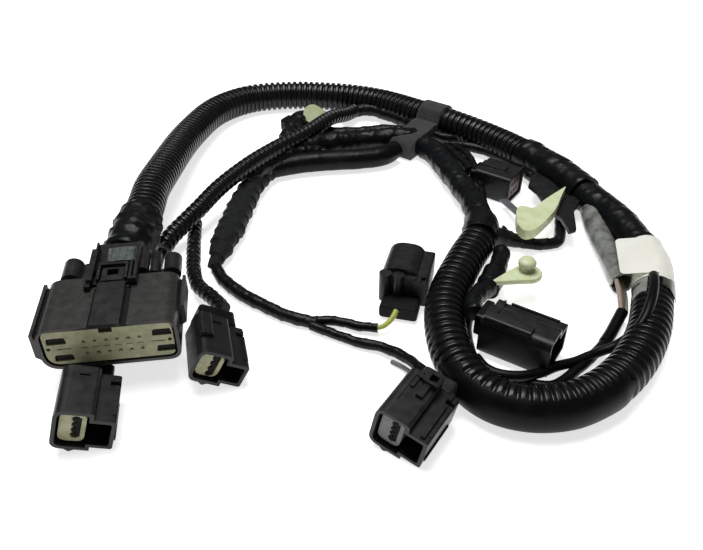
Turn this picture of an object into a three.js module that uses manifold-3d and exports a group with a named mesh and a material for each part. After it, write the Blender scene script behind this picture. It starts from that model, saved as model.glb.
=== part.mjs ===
// Vehicle wiring harness: a taped loop of corrugated conduit with branches and seven plugs.
// Millimetres, +Z up. The harness lies on a table, and Z = 0 is the table.
import * as THREE from 'three';
import { mergeVertices } from 'three/addons/utils/BufferGeometryUtils.js';
import Module from 'manifold-3d';

const wasm = await Module();
wasm.setup();

// General sizes
const CLEARANCE = 0.3;
const SINK = 0.4;
const TABLE_CENTRE = [9.2, 246.7];
const DEGREE = Math.PI / 180;
const STEP_PER_RADIUS = 1.7;
const SHORTEST_STEP = 3.2;

// Tube radii
const TRUNK_RADIUS = 6.9;
const NEAR_TRUNK_RADIUS = 6.7;
const CORNER_TAPE_RADIUS = 6.1;
const REAR_TAPE_RADIUS = 7.9;
const JUNCTION_RADIUS = 6.4;
const INNER_BRANCH_RADIUS = 4.7;
const SMALL_CONDUIT_RADIUS = 3.5;
const FLEECE_RADIUS = 4.2;
const FLAT_SLEEVE_RADIUS = 4.6;
const UPPER_BUNDLE_RADIUS = 3.4;
const CLIP_TAPE_RADIUS = 3.8;
const BUNDLE_RADIUS = 2.7;
const BRANCH_B_RADIUS = 2.4;
const LEAD_RADIUS = 2.0;
const RIGHT_LEAD_RADIUS = 2.2;
const LOWER_BRANCH_RADIUS = 2.1;
const THIN_LEAD_RADIUS = 1.6;
const LOOP_BRANCH_RADIUS = 1.7;
const WIRE_RADIUS = 0.8;
const YELLOW_WIRE_RADIUS = 0.9;
const ID_SLEEVE_RADIUS = 4.2;
const ID_SLEEVE_WALL = 0.5;
const LABEL_THICKNESS = 0.3;
const LABEL_SLACK = 0.6;
const BAND_THICKNESS = 0.4;
const BAND_SLACK = 0.6;

// Main plug: place is the middle of its rear end, where the trunk comes in
const MAIN = {
  place: [-76.05, 200.6, 9],
  turn: 8,
  width: 40,
  height: 15,
  length: 24,
  wall: 1.5,
  cavityDepth: 9,
  insertRecess: 1.2,
  insertGap: 0.4,
  flangeThickness: 1.2,
  flangeMargin: 1,
  sealLength: 2.4,
  sealMargin: 1,
  sealCorner: 2,
  coverLength: 15,
  coverWidth: 34,
  latchWidth: 9,
  latchThickness: 1.6,
  latchLength: 20,
  latchOverlap: 1,
  latchStart: 0.5,
  frameWidth: 15,
  frameHeight: 3.4,
  frameBar: 1.8,
  crossBar: 2,
  railWidth: 1,
  railHeight: 1,
  leftCorner: 6,
  rightCorner: 4,
  topCorner: 2.4,
};
const CONTACTS = { count: 6, pitch: 3.3, first: -8.4, shift: 0.2, row: 2.2, width: 1.1, depth: 3 };
const BLADES = { x: 14.2, row: 3.2, width: 4.8, height: 2, depth: 5 };
const NOTCH = { width: 3.6, height: 1.4, depth: 3 };
const COVER_PLATE = { length: 5, margin: 1, drop: 2 };
const HIGH_TOWERS = { x: 13.4, drop: 4.4, radius: 3.4, length: 9 };
const LOW_TOWERS = { x: 10.5, height: 4.6, radius: 3.2, length: 8 };

// Small plugs: place is the middle of the rear end, where the lead comes in
const PLUG_WIDTH = 16.5;
const PLUG_HEIGHT = 14;
const PLUG_LENGTH = 18;
const PLUG_WALL = 1.1;
const PLUG_CAVITY = 10;
const BAY_WIDTH = 6;
const BAY_LOW = 1.4;
const BAY_DROP = 2.4;
const INSERT_GAP = 0.6;
const INSERT_RECESS = 1.5;
const SLOT = { width: 1.9, height: 1.5, depth: 4, pitch: 2.05, count: 4, fromRight: 2 };
const KEY_TIP = 0.9;
const KEY = { width: 4, round: 0.3, rearMargin: 5.5 };
const RAIL = { width: 2, height: 1.1, length: 9 };
const BAY_RIB = { width: 1.2, height: 0.9, start: 1 };
const SHELL_STEP = { inset: 1, drop: 1.5 };
const WIRE_TOWERS = { offsets: [-2.3, 2.1], drop: 4.2, radius: 1.9 };
const PLUG_CORNER = 3;
const BAY_CORNER = 0.8;
const INSERT_CORNER = 1.8;
const CAP_CORNER = 1.4;
const PLUGS = [
  {
    name: 'plug_a', place: [-77.3, 162.03], turn: 8, width: PLUG_WIDTH, height: PLUG_HEIGHT, length: PLUG_LENGTH,
    cap: { width: 12, height: 7.6, low: 0, length: 9 }, insert: 0xa3a286, rail: 1,
  },
  {
    name: 'plug_b', place: [-41.62, 184.77], turn: 3, width: PLUG_WIDTH, height: PLUG_HEIGHT, length: PLUG_LENGTH,
    cap: { width: 12, height: 10, low: 2, length: 7 }, insert: 0xa3a286, rail: 1,
  },
  {
    name: 'plug_c', place: [15.38, 188.95], turn: 166, width: PLUG_WIDTH, height: PLUG_HEIGHT, length: PLUG_LENGTH,
    cap: { width: 12, height: 10, low: 2, length: 7 }, insert: 0x8f8f88, rail: 0, shell: 9,
  },
  {
    name: 'plug_d', place: [23.55, 152.04], turn: -30, width: PLUG_WIDTH, height: PLUG_HEIGHT, length: 19,
    cap: { width: 11, height: 10, low: 2, length: 5 }, insert: 0x74757a, rail: 1,
  },
  {
    name: 'plug_e', place: [41.18, 180.81], turn: 57, width: 15.4, height: 14.2, length: 23,
    cap: { width: 10, height: 8, low: 4.4, length: 2.6 }, insert: 0x55565a, rail: 1,
  },
];

// Far plug with the dark red insert
const FAR_PLUG = {
  place: [52.69, 279.57, 0],
  turn: 55,
  width: 14,
  height: 12,
  length: 16,
  wall: 1.2,
  cavityDepth: 7,
  insertRecess: 3,
  insertGap: 0.6,
  capLength: 3,
  capMargin: 2,
  corner: 1.6,
};

// Clips, plate, collar and ribbon
const COLLAR = { centre: [27.6, 313.6], low: 0.2, length: 11, width: 22.6, height: 10.4, flat: 1.2 };
const COLLAR_TURN = -36;
const CLIP_1_BASE = { centre: [-28.9, 332.6], size: [10, 9, 6.6], low: 0.2, corner: 1.5, turn: -35 };
const CLIP_1 = { centre: [-19.4, 331.4], length: 12, width: 7, thickness: 2.2, turn: 10 };
const UPPER_BUNDLE_TOP = 7;
const CLIP_1_KNOB = { length: 7.2, width: 4.2, height: 1.4 };
const CLIP_2_THICKNESS = 4;
const SIDE_PLATE = { low: 6.4, thickness: 2 };
const CLIP_3 = { centre: [56.4, 202.4], low: 10, length: 20, width: 7, thickness: 1.5, turn: 22 };
const STUD = { x: 4.5, neck: 1.7, neckLength: 4, head: 2.7, headLength: 2, tip: 1.6, tipLength: 1.4 };
const RIBBON = { start: [62.7, 262.1, 3.2], end: [66.6, 241.6, 7.6], width: 3.4, thickness: 1 };

// Routes of the tubes on the table, chosen by hand, from one end to the other
const ROUTES = {
  main_rear_tape: [[-76, 202.3, 16.4], [-75.6, 214, 17], [-76, 231, 17], [-77.4, 247, 16]],
  trunk_far_conduit: [
    [-77.5, 248.5, 16], [-77, 268, 14], [-74, 310, 9.5], [-65.5, 340, 7.6], [-51.5, 354.5, 7],
    [-31, 359.5, 6.9], [-10, 358, 6.9], [3, 355, 6.9], [16.5, 348.5, 7.1], [32, 335, 8.1],
    [47, 323.5, 8.1], [62, 311.5, 7.1], [75, 296.5, 6.9], [84.5, 281, 6.9], [91.5, 267, 6.9],
  ],
  trunk_corner_tape: [
    [91.8, 266.2, 7], [96.5, 255.5, 7.2], [101.5, 243.5, 7.2], [104.5, 230, 7.2], [106, 217, 7.2],
    [105, 205, 7],
  ],
  trunk_near_conduit: [
    [104.2, 202.6, 6.7], [100.5, 192, 6.7], [94, 176, 6.7], [84.5, 161.5, 6.7], [73.5, 151, 6.7],
    [62, 145, 6.7], [50.5, 144, 6.7], [41.5, 147, 6.7], [35.5, 153, 6.7], [31.5, 163, 6.7],
    [30, 174.5, 6.7], [30.5, 186, 6.7], [33, 196.5, 6.7], [37, 206.5, 6.7], [42, 217.5, 6.7],
    [47, 227, 6.7],
  ],
  junction_tape: [[47.7, 228.7, 6.8], [49.3, 235, 6.8], [49.6, 243, 6.8]],
  inner_branch_tape: [
    [49.7, 243.9, 6.8], [48.6, 254.5, 6.8], [45, 271, 6.5], [41.2, 286, 6], [37.5, 299, 5.4],
    [32.9, 307.2, 5.2],
  ],
  right_lead: [
    [56.5, 236, 5.4], [59.5, 234.6, 3.7], [64, 232.6, 2.6], [73.5, 231.4, 2.3], [79, 233.5, 2.3],
    [81.2, 240, 2.6], [83, 247.5, 3], [87, 253.2, 3.6],
  ],
  small_conduit: [
    [-69.6, 223.3, 5.8], [-67.5, 229, 7.2], [-63.5, 236.5, 8.6], [-59, 245, 10], [-53, 258, 11.5],
    [-43, 274, 13], [-33.5, 287.5, 13.2], [-20, 305.5, 12.4], [-10, 323.5, 11], [-2.5, 338, 6.4],
    [1, 344.4, 5.2],
  ],
  branch_b: [
    [-61.5, 246, 2.7], [-60.5, 236, 2.7], [-58.8, 225, 3], [-56.8, 213.5, 3.8], [-53, 202, 5.2],
    [-46, 192.5, 7], [-41.9, 186.3, 7.7],
  ],
  fleece_branch: [
    [-35, 285.2, 4.6], [-38.5, 280, 4.4], [-42, 269.5, 4.4], [-44.5, 256, 4.4],
    [-46.5, 240.5, 4.4], [-48.5, 227, 4.4], [-49.8, 220.5, 4.4],
  ],
  flat_sleeve: [
    [20.2, 303.3, 5.2], [14, 297.6, 5], [4, 294.6, 5], [-12, 292.6, 5], [-23, 290.4, 5],
    [-32.7, 287.3, 4.8],
  ],
  upper_bundle: [
    [24.2, 320.9, 4.4], [15, 323.8, 3.8], [4, 321.8, 3.6], [-8, 321.5, 3.6], [-17.5, 326, 3.6],
    [-23, 329.6, 3.6],
  ],
  lower_branch: [
    [-50, 219.1, 2.6], [-47, 211.5, 2.3], [-42.5, 205.5, 2.3], [-37, 200, 2.3], [-29.5, 194.5, 2.3],
    [-21, 189, 2.3], [-11.5, 185.5, 2.3],
  ],
  lead_c: [[-10.3, 187, 2.4], [-4.5, 186.6, 2.2], [2.5, 184.2, 2.1], [7.4, 183, 2.4]],
  lead_d: [
    [-10.9, 183.3, 1.9], [-4.5, 180, 1.9], [2.5, 176.5, 1.9], [9.5, 174, 2.2], [16, 168.5, 3.5],
    [20.8, 160.5, 5.6], [23.7, 153.8, 7],
  ],
  yellow_wire: [[8, 182.9, 2.5], [10.5, 183.2, 3], [13, 184.8, 4.4], [14.8, 187.6, 6]],
  gray_wire: [[12.6, 168.6, 0.9], [16, 165.6, 1.3], [18.9, 160.8, 2.7], [21, 154.5, 4.4]],
  loop_branch: [
    [80.4, 175.2, 2], [76, 170.4, 2], [70, 164.6, 2], [60, 157, 2], [51, 159, 2], [43.5, 162.5, 2],
    [38.6, 168, 2], [37.5, 175, 2], [37.9, 184, 2], [41, 193, 2.6], [45.5, 198.8, 3.9],
  ],
  lead_e: [[39.4, 182.1, 9.2], [39.6, 186.6, 9.2], [42.6, 193.4, 8.6], [46.8, 198.4, 7.4]],
  clip_3_tape: [[46.8, 199.4, 5.8], [50.4, 208.2, 5.8]],
  bundle_e: [[50.6, 208.8, 5.8], [53, 214.5, 5.8], [55, 221, 6]],
  lead_a: [
    [-77.4, 163.1, 4.7], [-76, 170, 3.4], [-73.5, 182, 2.4], [-70.5, 195, 2.4], [-69.6, 206, 3],
    [-70.2, 214, 4.4], [-69.9, 221.8, 5.5],
  ],
  lead_f: [
    [38, 314.4, 4.6], [43.5, 307, 4.4], [47.5, 297, 4.6], [50, 288, 5.4], [51.2, 281.4, 6],
  ],
  wire_cover: [[90.3, 189.6, 3.6], [87.3, 185, 3], [84, 180, 2.4], [81.2, 176.2, 2.1]],
  pink_wire: [[91.4, 226, 5.9], [92.3, 210, 6.2], [91.6, 200, 6], [89.5, 191.4, 5.2]],
  brown_wire: [[92.5, 226, 4.4], [94, 210, 4.4], [93.2, 200, 4.2], [91, 191.4, 3.6]],
  green_wire: [[93.7, 226, 2.8], [95.4, 210, 2.6], [94.6, 200, 2.4], [92.5, 191.4, 2]],
  id_sleeve: [[89.8, 245, 4.6], [91, 235.5, 4.6], [92.8, 222, 4.6], [93.8, 211, 4.6]],
  white_label: [[104.7, 228.5, 7.2], [106, 217, 7.2], [105.3, 207.5, 7.1]],
  cloth_band: [[34.7, 332.8, 8.1], [40.1, 328.7, 8.15], [45.4, 324.7, 8.1]],
};

// Outlines on the table
const SIDE_PLATE_OUTLINE = [
  [75.8, 272], [73, 264], [75.4, 260.5], [76.3, 254.3], [79.2, 243], [80.7, 241], [81.7, 231.5],
  [84.9, 233], [84.9, 247], [88.4, 253], [84.4, 263.4], [81, 270.2], [78, 276.4],
];
const CLIP_2_OUTLINE = [
  [85.8, 257.3], [81.6, 248.5], [78.5, 240.9], [73.7, 233.7], [67.5, 226], [63.1, 224.5],
  [61.2, 229.8], [62.6, 239.5], [65, 243.3], [69.4, 240.4], [75.6, 247.7],
];

// Finishes
const finish = (color, roughness) => new THREE.MeshStandardMaterial({ color, roughness, metalness: 0 });
const BLACK_PLASTIC = finish(0x2b2c2d, 0.5);
const DARK_GRAY_PLASTIC = finish(0x3f4040, 0.55);
const CONDUIT = finish(0x16181a, 0.4);
const TAPE = finish(0x1c1e20, 0.6);
const CLOTH = finish(0x2a2b2b, 0.9);
const BAND_CLOTH = finish(0x4a4a48, 0.85);
const CREAM = finish(0x9d9c80, 0.6);
const NYLON = finish(0xdfe6c0, 0.45);
const LABEL_WHITE = finish(0xf0f0e8, 0.5);
const PRINTED_SLEEVE = finish(0x8b8d88, 0.4);
const SEAL_GREEN = finish(0x56605e, 0.6);

const harness = new THREE.Group();
harness.position.set(-TABLE_CENTRE[0], -TABLE_CENTRE[1], 0);

function addPiece(parent, name, geometry, material) {
  const mesh = new THREE.Mesh(geometry, material);
  mesh.name = name;
  parent.add(mesh);
  return mesh;
}

// Booleans on closed geometry
function solidOf(geometry) {
  const bare = geometry.index ? geometry.toNonIndexed() : geometry.clone();
  bare.deleteAttribute('normal');
  bare.deleteAttribute('uv');
  const merged = mergeVertices(bare, 1e-4);
  return new wasm.Manifold(new wasm.Mesh({
    numProp: 3,
    vertProperties: new Float32Array(merged.attributes.position.array),
    triVerts: new Uint32Array(merged.index.array),
  }));
}

function geometryOf(solid) {
  const mesh = solid.getMesh();
  const geometry = new THREE.BufferGeometry();
  geometry.setAttribute('position', new THREE.BufferAttribute(mesh.vertProperties, 3));
  geometry.setIndex(new THREE.BufferAttribute(mesh.triVerts, 1));
  return geometry;
}

function joined(base, added) {
  return geometryOf(added.reduce((solid, piece) => solid.add(solidOf(piece)), solidOf(base)));
}

function cutAway(base, removed) {
  return geometryOf(removed.reduce((solid, piece) => solid.subtract(solidOf(piece)), solidOf(base)));
}

// A box from its lowest corner to its highest one
function box(low, high) {
  const size = high.map((value, axis) => value - low[axis]);
  const geometry = new THREE.BoxGeometry(...size);
  return geometry.translate(...low.map((value, axis) => value + size[axis] / 2));
}

// A closed outline whose corners are rounded, each by its own radius
function roundedOutline(points, radii) {
  const shape = new THREE.Shape();
  points.forEach(([x, z], index) => {
    const corner = new THREE.Vector2(x, z);
    const before = new THREE.Vector2(...points.at(index - 1)).sub(corner);
    const after = new THREE.Vector2(...points[(index + 1) % points.length]).sub(corner);
    const radius = Math.min(radii[index], before.length() / 2, after.length() / 2);
    const start = corner.clone().addScaledVector(before.normalize(), radius);
    const end = corner.clone().addScaledVector(after.normalize(), radius);
    if (index === 0) shape.moveTo(start.x, start.y);
    else shape.lineTo(start.x, start.y);
    if (radius > 0) shape.quadraticCurveTo(corner.x, corner.y, end.x, end.y);
  });
  shape.closePath();
  return shape;
}

function rectangle(left, low, right, high, radius) {
  return roundedOutline([[left, low], [right, low], [right, high], [left, high]], Array(4).fill(radius));
}

// An outline in X and Z, drawn out along +Y from one depth to another
function drawnAlongY(shape, from, to, curveSegments = 3) {
  const depth = to - from;
  const geometry = new THREE.ExtrudeGeometry(shape, { depth, bevelEnabled: false, curveSegments });
  return geometry.rotateX(Math.PI / 2).translate(0, to, 0);
}

// A post along +Y, from one depth to another
function postAlongY(x, z, radius, from, to, sides) {
  return new THREE.CylinderGeometry(radius, radius, to - from, sides).translate(x, (from + to) / 2, z);
}

// A flat piece: an outline in X and Y with a thickness
function flatPiece(shape, low, thickness, curveSegments = 4) {
  const geometry = new THREE.ExtrudeGeometry(shape, { depth: thickness, bevelEnabled: false, curveSegments });
  return geometry.translate(0, 0, low);
}

// A round section swept along a route, hollow where an inner radius is given
function tube(route, radius, sides, innerRadius = 0) {
  const points = route.map((point) => new THREE.Vector3(...point));
  const curve = new THREE.CatmullRomCurve3(points, false, 'centripetal');
  const stepLength = Math.max(radius * STEP_PER_RADIUS, SHORTEST_STEP);
  const steps = Math.max(2, Math.round(curve.getLength() / stepLength));
  const section = circle(radius, sides);
  if (innerRadius > 0) section.holes.push(circle(innerRadius, sides));
  return new THREE.ExtrudeGeometry(section, { steps, extrudePath: curve, bevelEnabled: false });
}

function circle(radius, sides) {
  const corners = Array.from({ length: sides }, (_, index) => {
    const angle = (2 * Math.PI * index) / sides;
    return new THREE.Vector2(radius * Math.cos(angle), radius * Math.sin(angle));
  });
  return new THREE.Shape(corners);
}

// A group that stands at a place on the table, turned about Z
function standing(place, turn) {
  const group = new THREE.Group();
  group.position.set(...place);
  group.rotation.z = turn * DEGREE;
  harness.add(group);
  return group;
}

// A plug's group: its mating face is at Y = 0, and its rear end is at the given place
function plugGroup([x, y, z], turn, reach) {
  const angle = turn * DEGREE;
  return standing([x + reach * Math.sin(angle), y - reach * Math.cos(angle), z], turn);
}

// Tubes: conduits, taped branches, leads and wires
const TUBES = [
  ['main_rear_tape', REAR_TAPE_RADIUS, 12, TAPE],
  ['trunk_far_conduit', TRUNK_RADIUS, 12, CONDUIT],
  ['trunk_corner_tape', CORNER_TAPE_RADIUS, 12, TAPE],
  ['trunk_near_conduit', NEAR_TRUNK_RADIUS, 12, CONDUIT],
  ['junction_tape', JUNCTION_RADIUS, 12, TAPE],
  ['inner_branch_tape', INNER_BRANCH_RADIUS, 10, TAPE],
  ['right_lead', RIGHT_LEAD_RADIUS, 8, TAPE],
  ['small_conduit', SMALL_CONDUIT_RADIUS, 10, CONDUIT],
  ['branch_b', BRANCH_B_RADIUS, 8, TAPE],
  ['fleece_branch', FLEECE_RADIUS, 10, CLOTH],
  ['flat_sleeve', FLAT_SLEEVE_RADIUS, 10, CONDUIT],
  ['upper_bundle', UPPER_BUNDLE_RADIUS, 10, TAPE],
  ['lower_branch', LOWER_BRANCH_RADIUS, 8, TAPE],
  ['lead_c', THIN_LEAD_RADIUS, 8, TAPE],
  ['lead_d', THIN_LEAD_RADIUS, 8, TAPE],
  ['yellow_wire', YELLOW_WIRE_RADIUS, 8, finish(0xb9c25a, 0.45)],
  ['gray_wire', WIRE_RADIUS, 8, finish(0x77787a, 0.5)],
  ['loop_branch', LOOP_BRANCH_RADIUS, 8, TAPE],
  ['lead_e', LEAD_RADIUS, 8, TAPE],
  ['clip_3_tape', CLIP_TAPE_RADIUS, 10, TAPE],
  ['bundle_e', BUNDLE_RADIUS, 8, TAPE],
  ['lead_a', LEAD_RADIUS, 8, TAPE],
  ['lead_f', LEAD_RADIUS, 8, TAPE],
  ['wire_cover', LEAD_RADIUS, 8, CONDUIT],
  ['pink_wire', WIRE_RADIUS, 8, finish(0xb08e86, 0.5)],
  ['brown_wire', WIRE_RADIUS, 8, finish(0x6a5f45, 0.5)],
  ['green_wire', WIRE_RADIUS, 8, finish(0x7d8a78, 0.5)],
];
for (const [name, radius, sides, material] of TUBES) {
  addPiece(harness, name, tube(ROUTES[name], radius, sides), material);
}

// Sleeves that are slid or wrapped over a tube
function addSleeve(name, innerRadius, wall, material) {
  addPiece(harness, name, tube(ROUTES[name], innerRadius + wall, 16, innerRadius), material);
}
addSleeve('id_sleeve', ID_SLEEVE_RADIUS - ID_SLEEVE_WALL, ID_SLEEVE_WALL, PRINTED_SLEEVE);
addSleeve('white_label', CORNER_TAPE_RADIUS + LABEL_SLACK, LABEL_THICKNESS, LABEL_WHITE);
addSleeve('cloth_band', TRUNK_RADIUS + BAND_SLACK, BAND_THICKNESS, BAND_CLOTH);

// Main plug: housing with a wide mouth, insert, latch frame, rear seal and rear cover
const sealStart = MAIN.length + CLEARANCE;
const sealEnd = sealStart + MAIN.sealLength;
const coverStart = sealEnd + CLEARANCE;

function mainOutline(inset) {
  const side = MAIN.width / 2 - inset;
  const points = [[-side, inset], [side, inset], [side, MAIN.height - inset], [-side, MAIN.height - inset]];
  const top = MAIN.topCorner - inset / 2;
  return roundedOutline(points, [MAIN.leftCorner - inset, MAIN.rightCorner - inset, top, top]);
}

function mainHousing() {
  const body = drawnAlongY(mainOutline(0), 0, MAIN.length);
  const cavity = drawnAlongY(mainOutline(MAIN.wall), -1, MAIN.cavityDepth);
  const side = MAIN.width / 2;
  const flanges = [-1, 1].map((sign) => {
    const inner = sign * (side - MAIN.wall / 2);
    const outer = sign * (side + MAIN.flangeThickness);
    const low = [Math.min(inner, outer), 0, MAIN.height / 3];
    const high = [Math.max(inner, outer), MAIN.length, MAIN.height - MAIN.flangeMargin];
    return box(low, high);
  });
  const latchSide = MAIN.latchWidth / 2;
  const railEnd = MAIN.latchLength - MAIN.latchOverlap - CLEARANCE;
  const rails = [-latchSide - MAIN.railWidth, latchSide].map((x) => (
    box([x, 0, MAIN.height - SINK], [x + MAIN.railWidth, railEnd, MAIN.height + MAIN.railHeight])
  ));
  return cutAway(joined(body, [...flanges, ...rails]), [cavity]);
}

function mainInsert() {
  const gap = MAIN.wall + MAIN.insertGap;
  const body = drawnAlongY(mainOutline(gap), MAIN.insertRecess, MAIN.cavityDepth - CLEARANCE);
  const middle = MAIN.height / 2;
  const holes = [];
  for (const row of [-1, 1]) {
    for (let column = 0; column < CONTACTS.count; column += 1) {
      const x = CONTACTS.first + column * CONTACTS.pitch + row * CONTACTS.shift;
      holes.push(frontHole(x, middle + row * CONTACTS.row, CONTACTS.width, CONTACTS.width, CONTACTS.depth));
    }
    for (const side of [-1, 1]) {
      const z = middle + row * BLADES.row;
      holes.push(frontHole(side * BLADES.x, z, BLADES.width, BLADES.height, BLADES.depth));
    }
  }
  const notchHeight = 2 * NOTCH.height;
  holes.push(frontHole(0, MAIN.height - gap, NOTCH.width, notchHeight, NOTCH.depth));
  return cutAway(body, holes);
}

// A box that cuts a hole into the front of the main insert, centred on x and z
function frontHole(x, z, width, height, depth) {
  const low = [x - width / 2, MAIN.insertRecess - 1, z - height / 2];
  return box(low, [x + width / 2, MAIN.insertRecess + depth, z + height / 2]);
}

function mainLatch() {
  const low = MAIN.height + CLEARANCE;
  const half = MAIN.latchWidth / 2 - CLEARANCE;
  const frame = MAIN.frameWidth / 2;
  const rear = coverStart + MAIN.coverLength;
  const strip = box([-half, MAIN.latchStart, low], [half, MAIN.latchLength, low + MAIN.latchThickness]);
  const start = MAIN.latchLength - MAIN.latchOverlap;
  const crossEnd = MAIN.latchLength + MAIN.crossBar;
  const cross = box([-frame, start, low], [frame, crossEnd, low + MAIN.latchThickness]);
  const posts = [-1, 1].map((sign) => {
    const x = sign * (frame - MAIN.frameBar / 2);
    return box([x - MAIN.frameBar / 2, start, low], [x + MAIN.frameBar / 2, rear, low + MAIN.frameHeight]);
  });
  const back = box([-frame, rear - MAIN.frameBar, low], [frame, rear, low + MAIN.frameHeight]);
  return joined(strip, [cross, ...posts, back]);
}

function mainRearCover() {
  const half = MAIN.coverWidth / 2;
  const frame = MAIN.frameWidth / 2;
  const margin = COVER_PLATE.margin;
  const plateEnd = coverStart + COVER_PLATE.length;
  const plate = box([-half, coverStart, margin], [half, plateEnd, MAIN.height - COVER_PLATE.drop]);
  const middle = box([-frame, coverStart, margin], [frame, coverStart + MAIN.coverLength, MAIN.height]);
  const towers = [-1, 1].flatMap((side) => {
    const highEnd = coverStart + HIGH_TOWERS.length;
    const lowEnd = coverStart + LOW_TOWERS.length;
    const highZ = MAIN.height - HIGH_TOWERS.drop;
    return [
      postAlongY(side * HIGH_TOWERS.x, highZ, HIGH_TOWERS.radius, coverStart, highEnd, 12),
      postAlongY(side * LOW_TOWERS.x, LOW_TOWERS.height, LOW_TOWERS.radius, coverStart, lowEnd, 10),
    ];
  });
  return joined(plate, [middle, ...towers]);
}

const mainPlug = plugGroup(MAIN.place, MAIN.turn, coverStart + MAIN.coverLength);
addPiece(mainPlug, 'main_housing', mainHousing(), DARK_GRAY_PLASTIC);
addPiece(mainPlug, 'main_insert', mainInsert(), CREAM);
addPiece(mainPlug, 'main_latch', mainLatch(), BLACK_PLASTIC);
const sealSide = MAIN.coverWidth / 2 + MAIN.sealMargin;
const sealTop = MAIN.height - MAIN.sealMargin;
const sealOutline = rectangle(-sealSide, MAIN.sealMargin, sealSide, sealTop, MAIN.sealCorner);
addPiece(mainPlug, 'main_rear_seal', drawnAlongY(sealOutline, sealStart, sealEnd), SEAL_GREEN);
addPiece(mainPlug, 'main_rear_cover', mainRearCover(), BLACK_PLASTIC);

// Small plugs: a round-cornered receptacle with an open latch bay beside it
function plugOutline(plug, inset, height = plug.height) {
  const left = -plug.width / 2 + inset;
  const right = plug.width / 2 - inset;
  const step = plug.width / 2 - BAY_WIDTH - inset;
  const bayLow = BAY_LOW + inset;
  const bayHigh = height - BAY_DROP - inset;
  const points = [
    [left, inset], [step, inset], [step, bayLow], [right, bayLow], [right, bayHigh],
    [step, bayHigh], [step, height - inset], [left, height - inset],
  ];
  const corner = PLUG_CORNER - inset;
  return roundedOutline(points, [corner, 0, 0, BAY_CORNER, BAY_CORNER, 0, corner / 2, corner]);
}

function plugHousing(plug) {
  const shell = plug.shell ?? plug.length;
  const receptacle = -BAY_WIDTH / 2;
  const rearStart = shell - SINK;
  const added = [];
  if (shell < plug.length) {
    const rearOutline = plugOutline(plug, SHELL_STEP.inset, plug.height - SHELL_STEP.drop);
    added.push(drawnAlongY(rearOutline, rearStart, plug.length));
    for (const offset of WIRE_TOWERS.offsets) {
      const z = plug.height - WIRE_TOWERS.drop;
      added.push(postAlongY(receptacle + offset, z, WIRE_TOWERS.radius, rearStart, plug.length, 8));
    }
  } else {
    const railX = receptacle + plug.rail;
    const railLow = [railX, plug.length - RAIL.length, plug.height - SINK];
    added.push(box(railLow, [railX + RAIL.width, plug.length, plug.height + RAIL.height]));
    const bayTop = plug.height - BAY_DROP;
    const ribX = (plug.width - BAY_WIDTH) / 2;
    const ribLow = [ribX, BAY_RIB.start, bayTop - SINK];
    added.push(box(ribLow, [ribX + BAY_RIB.width, plug.length, bayTop + BAY_RIB.height]));
  }
  const keySide = KEY.width / 2;
  const keyPoints = [[receptacle - keySide, SINK], [receptacle, -KEY_TIP], [receptacle + keySide, SINK]];
  added.push(drawnAlongY(roundedOutline(keyPoints, [0, KEY.round, 0]), 0, plug.length - KEY.rearMargin));
  const body = joined(drawnAlongY(plugOutline(plug, 0), 0, shell), added);
  return cutAway(body, [drawnAlongY(plugOutline(plug, PLUG_WALL), -1, PLUG_CAVITY - SINK)]);
}

function plugInsert(plug) {
  const left = -plug.width / 2 + PLUG_WALL + INSERT_GAP;
  const low = PLUG_WALL + INSERT_GAP;
  const high = plug.height - PLUG_WALL - INSERT_GAP;
  const right = plug.width / 2 - BAY_WIDTH - PLUG_WALL - INSERT_GAP;
  const outline = rectangle(left, low, right, high, INSERT_CORNER);
  const body = drawnAlongY(outline, INSERT_RECESS, PLUG_CAVITY - SINK - CLEARANCE);
  const slotX = right - SLOT.fromRight - SLOT.width / 2;
  const slots = Array.from({ length: SLOT.count }, (_, index) => {
    const z = plug.height / 2 + (index - (SLOT.count - 1) / 2) * SLOT.pitch;
    const start = [slotX, INSERT_RECESS - 1, z - SLOT.height / 2];
    return box(start, [slotX + SLOT.width, INSERT_RECESS + SLOT.depth, z + SLOT.height / 2]);
  });
  return cutAway(body, slots);
}

function plugCap(plug) {
  const { width, height, low, length } = plug.cap;
  const start = plug.length + CLEARANCE;
  const outline = rectangle(-width / 2, low, width / 2, low + height, CAP_CORNER);
  return drawnAlongY(outline, start, start + length);
}

for (const plug of PLUGS) {
  const reach = plug.length + CLEARANCE + plug.cap.length;
  const group = plugGroup([...plug.place, KEY_TIP], plug.turn, reach);
  addPiece(group, `${plug.name}_housing`, plugHousing(plug), BLACK_PLASTIC);
  addPiece(group, `${plug.name}_insert`, plugInsert(plug), finish(plug.insert, 0.6));
  addPiece(group, `${plug.name}_rear_cap`, plugCap(plug), TAPE);
}

// Far plug: a plain rectangular shell with a dark red insert set back in its mouth
const farCapStart = FAR_PLUG.length + CLEARANCE;
const farPlug = plugGroup(FAR_PLUG.place, FAR_PLUG.turn, farCapStart + FAR_PLUG.capLength);

function farOutline(inset) {
  const half = FAR_PLUG.width / 2 - inset;
  return rectangle(-half, inset, half, FAR_PLUG.height - inset, FAR_PLUG.corner);
}

const farBody = drawnAlongY(farOutline(0), 0, FAR_PLUG.length);
const farCavity = drawnAlongY(farOutline(FAR_PLUG.wall), -1, FAR_PLUG.cavityDepth);
addPiece(farPlug, 'plug_f_housing', cutAway(farBody, [farCavity]), BLACK_PLASTIC);
const farInset = FAR_PLUG.wall + FAR_PLUG.insertGap;
const farInsert = drawnAlongY(farOutline(farInset), FAR_PLUG.insertRecess, FAR_PLUG.cavityDepth - CLEARANCE);
addPiece(farPlug, 'plug_f_insert', farInsert, finish(0x3a1512, 0.5));
const farCap = drawnAlongY(farOutline(FAR_PLUG.capMargin), farCapStart, farCapStart + FAR_PLUG.capLength);
addPiece(farPlug, 'plug_f_rear_cap', farCap, TAPE);

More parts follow.
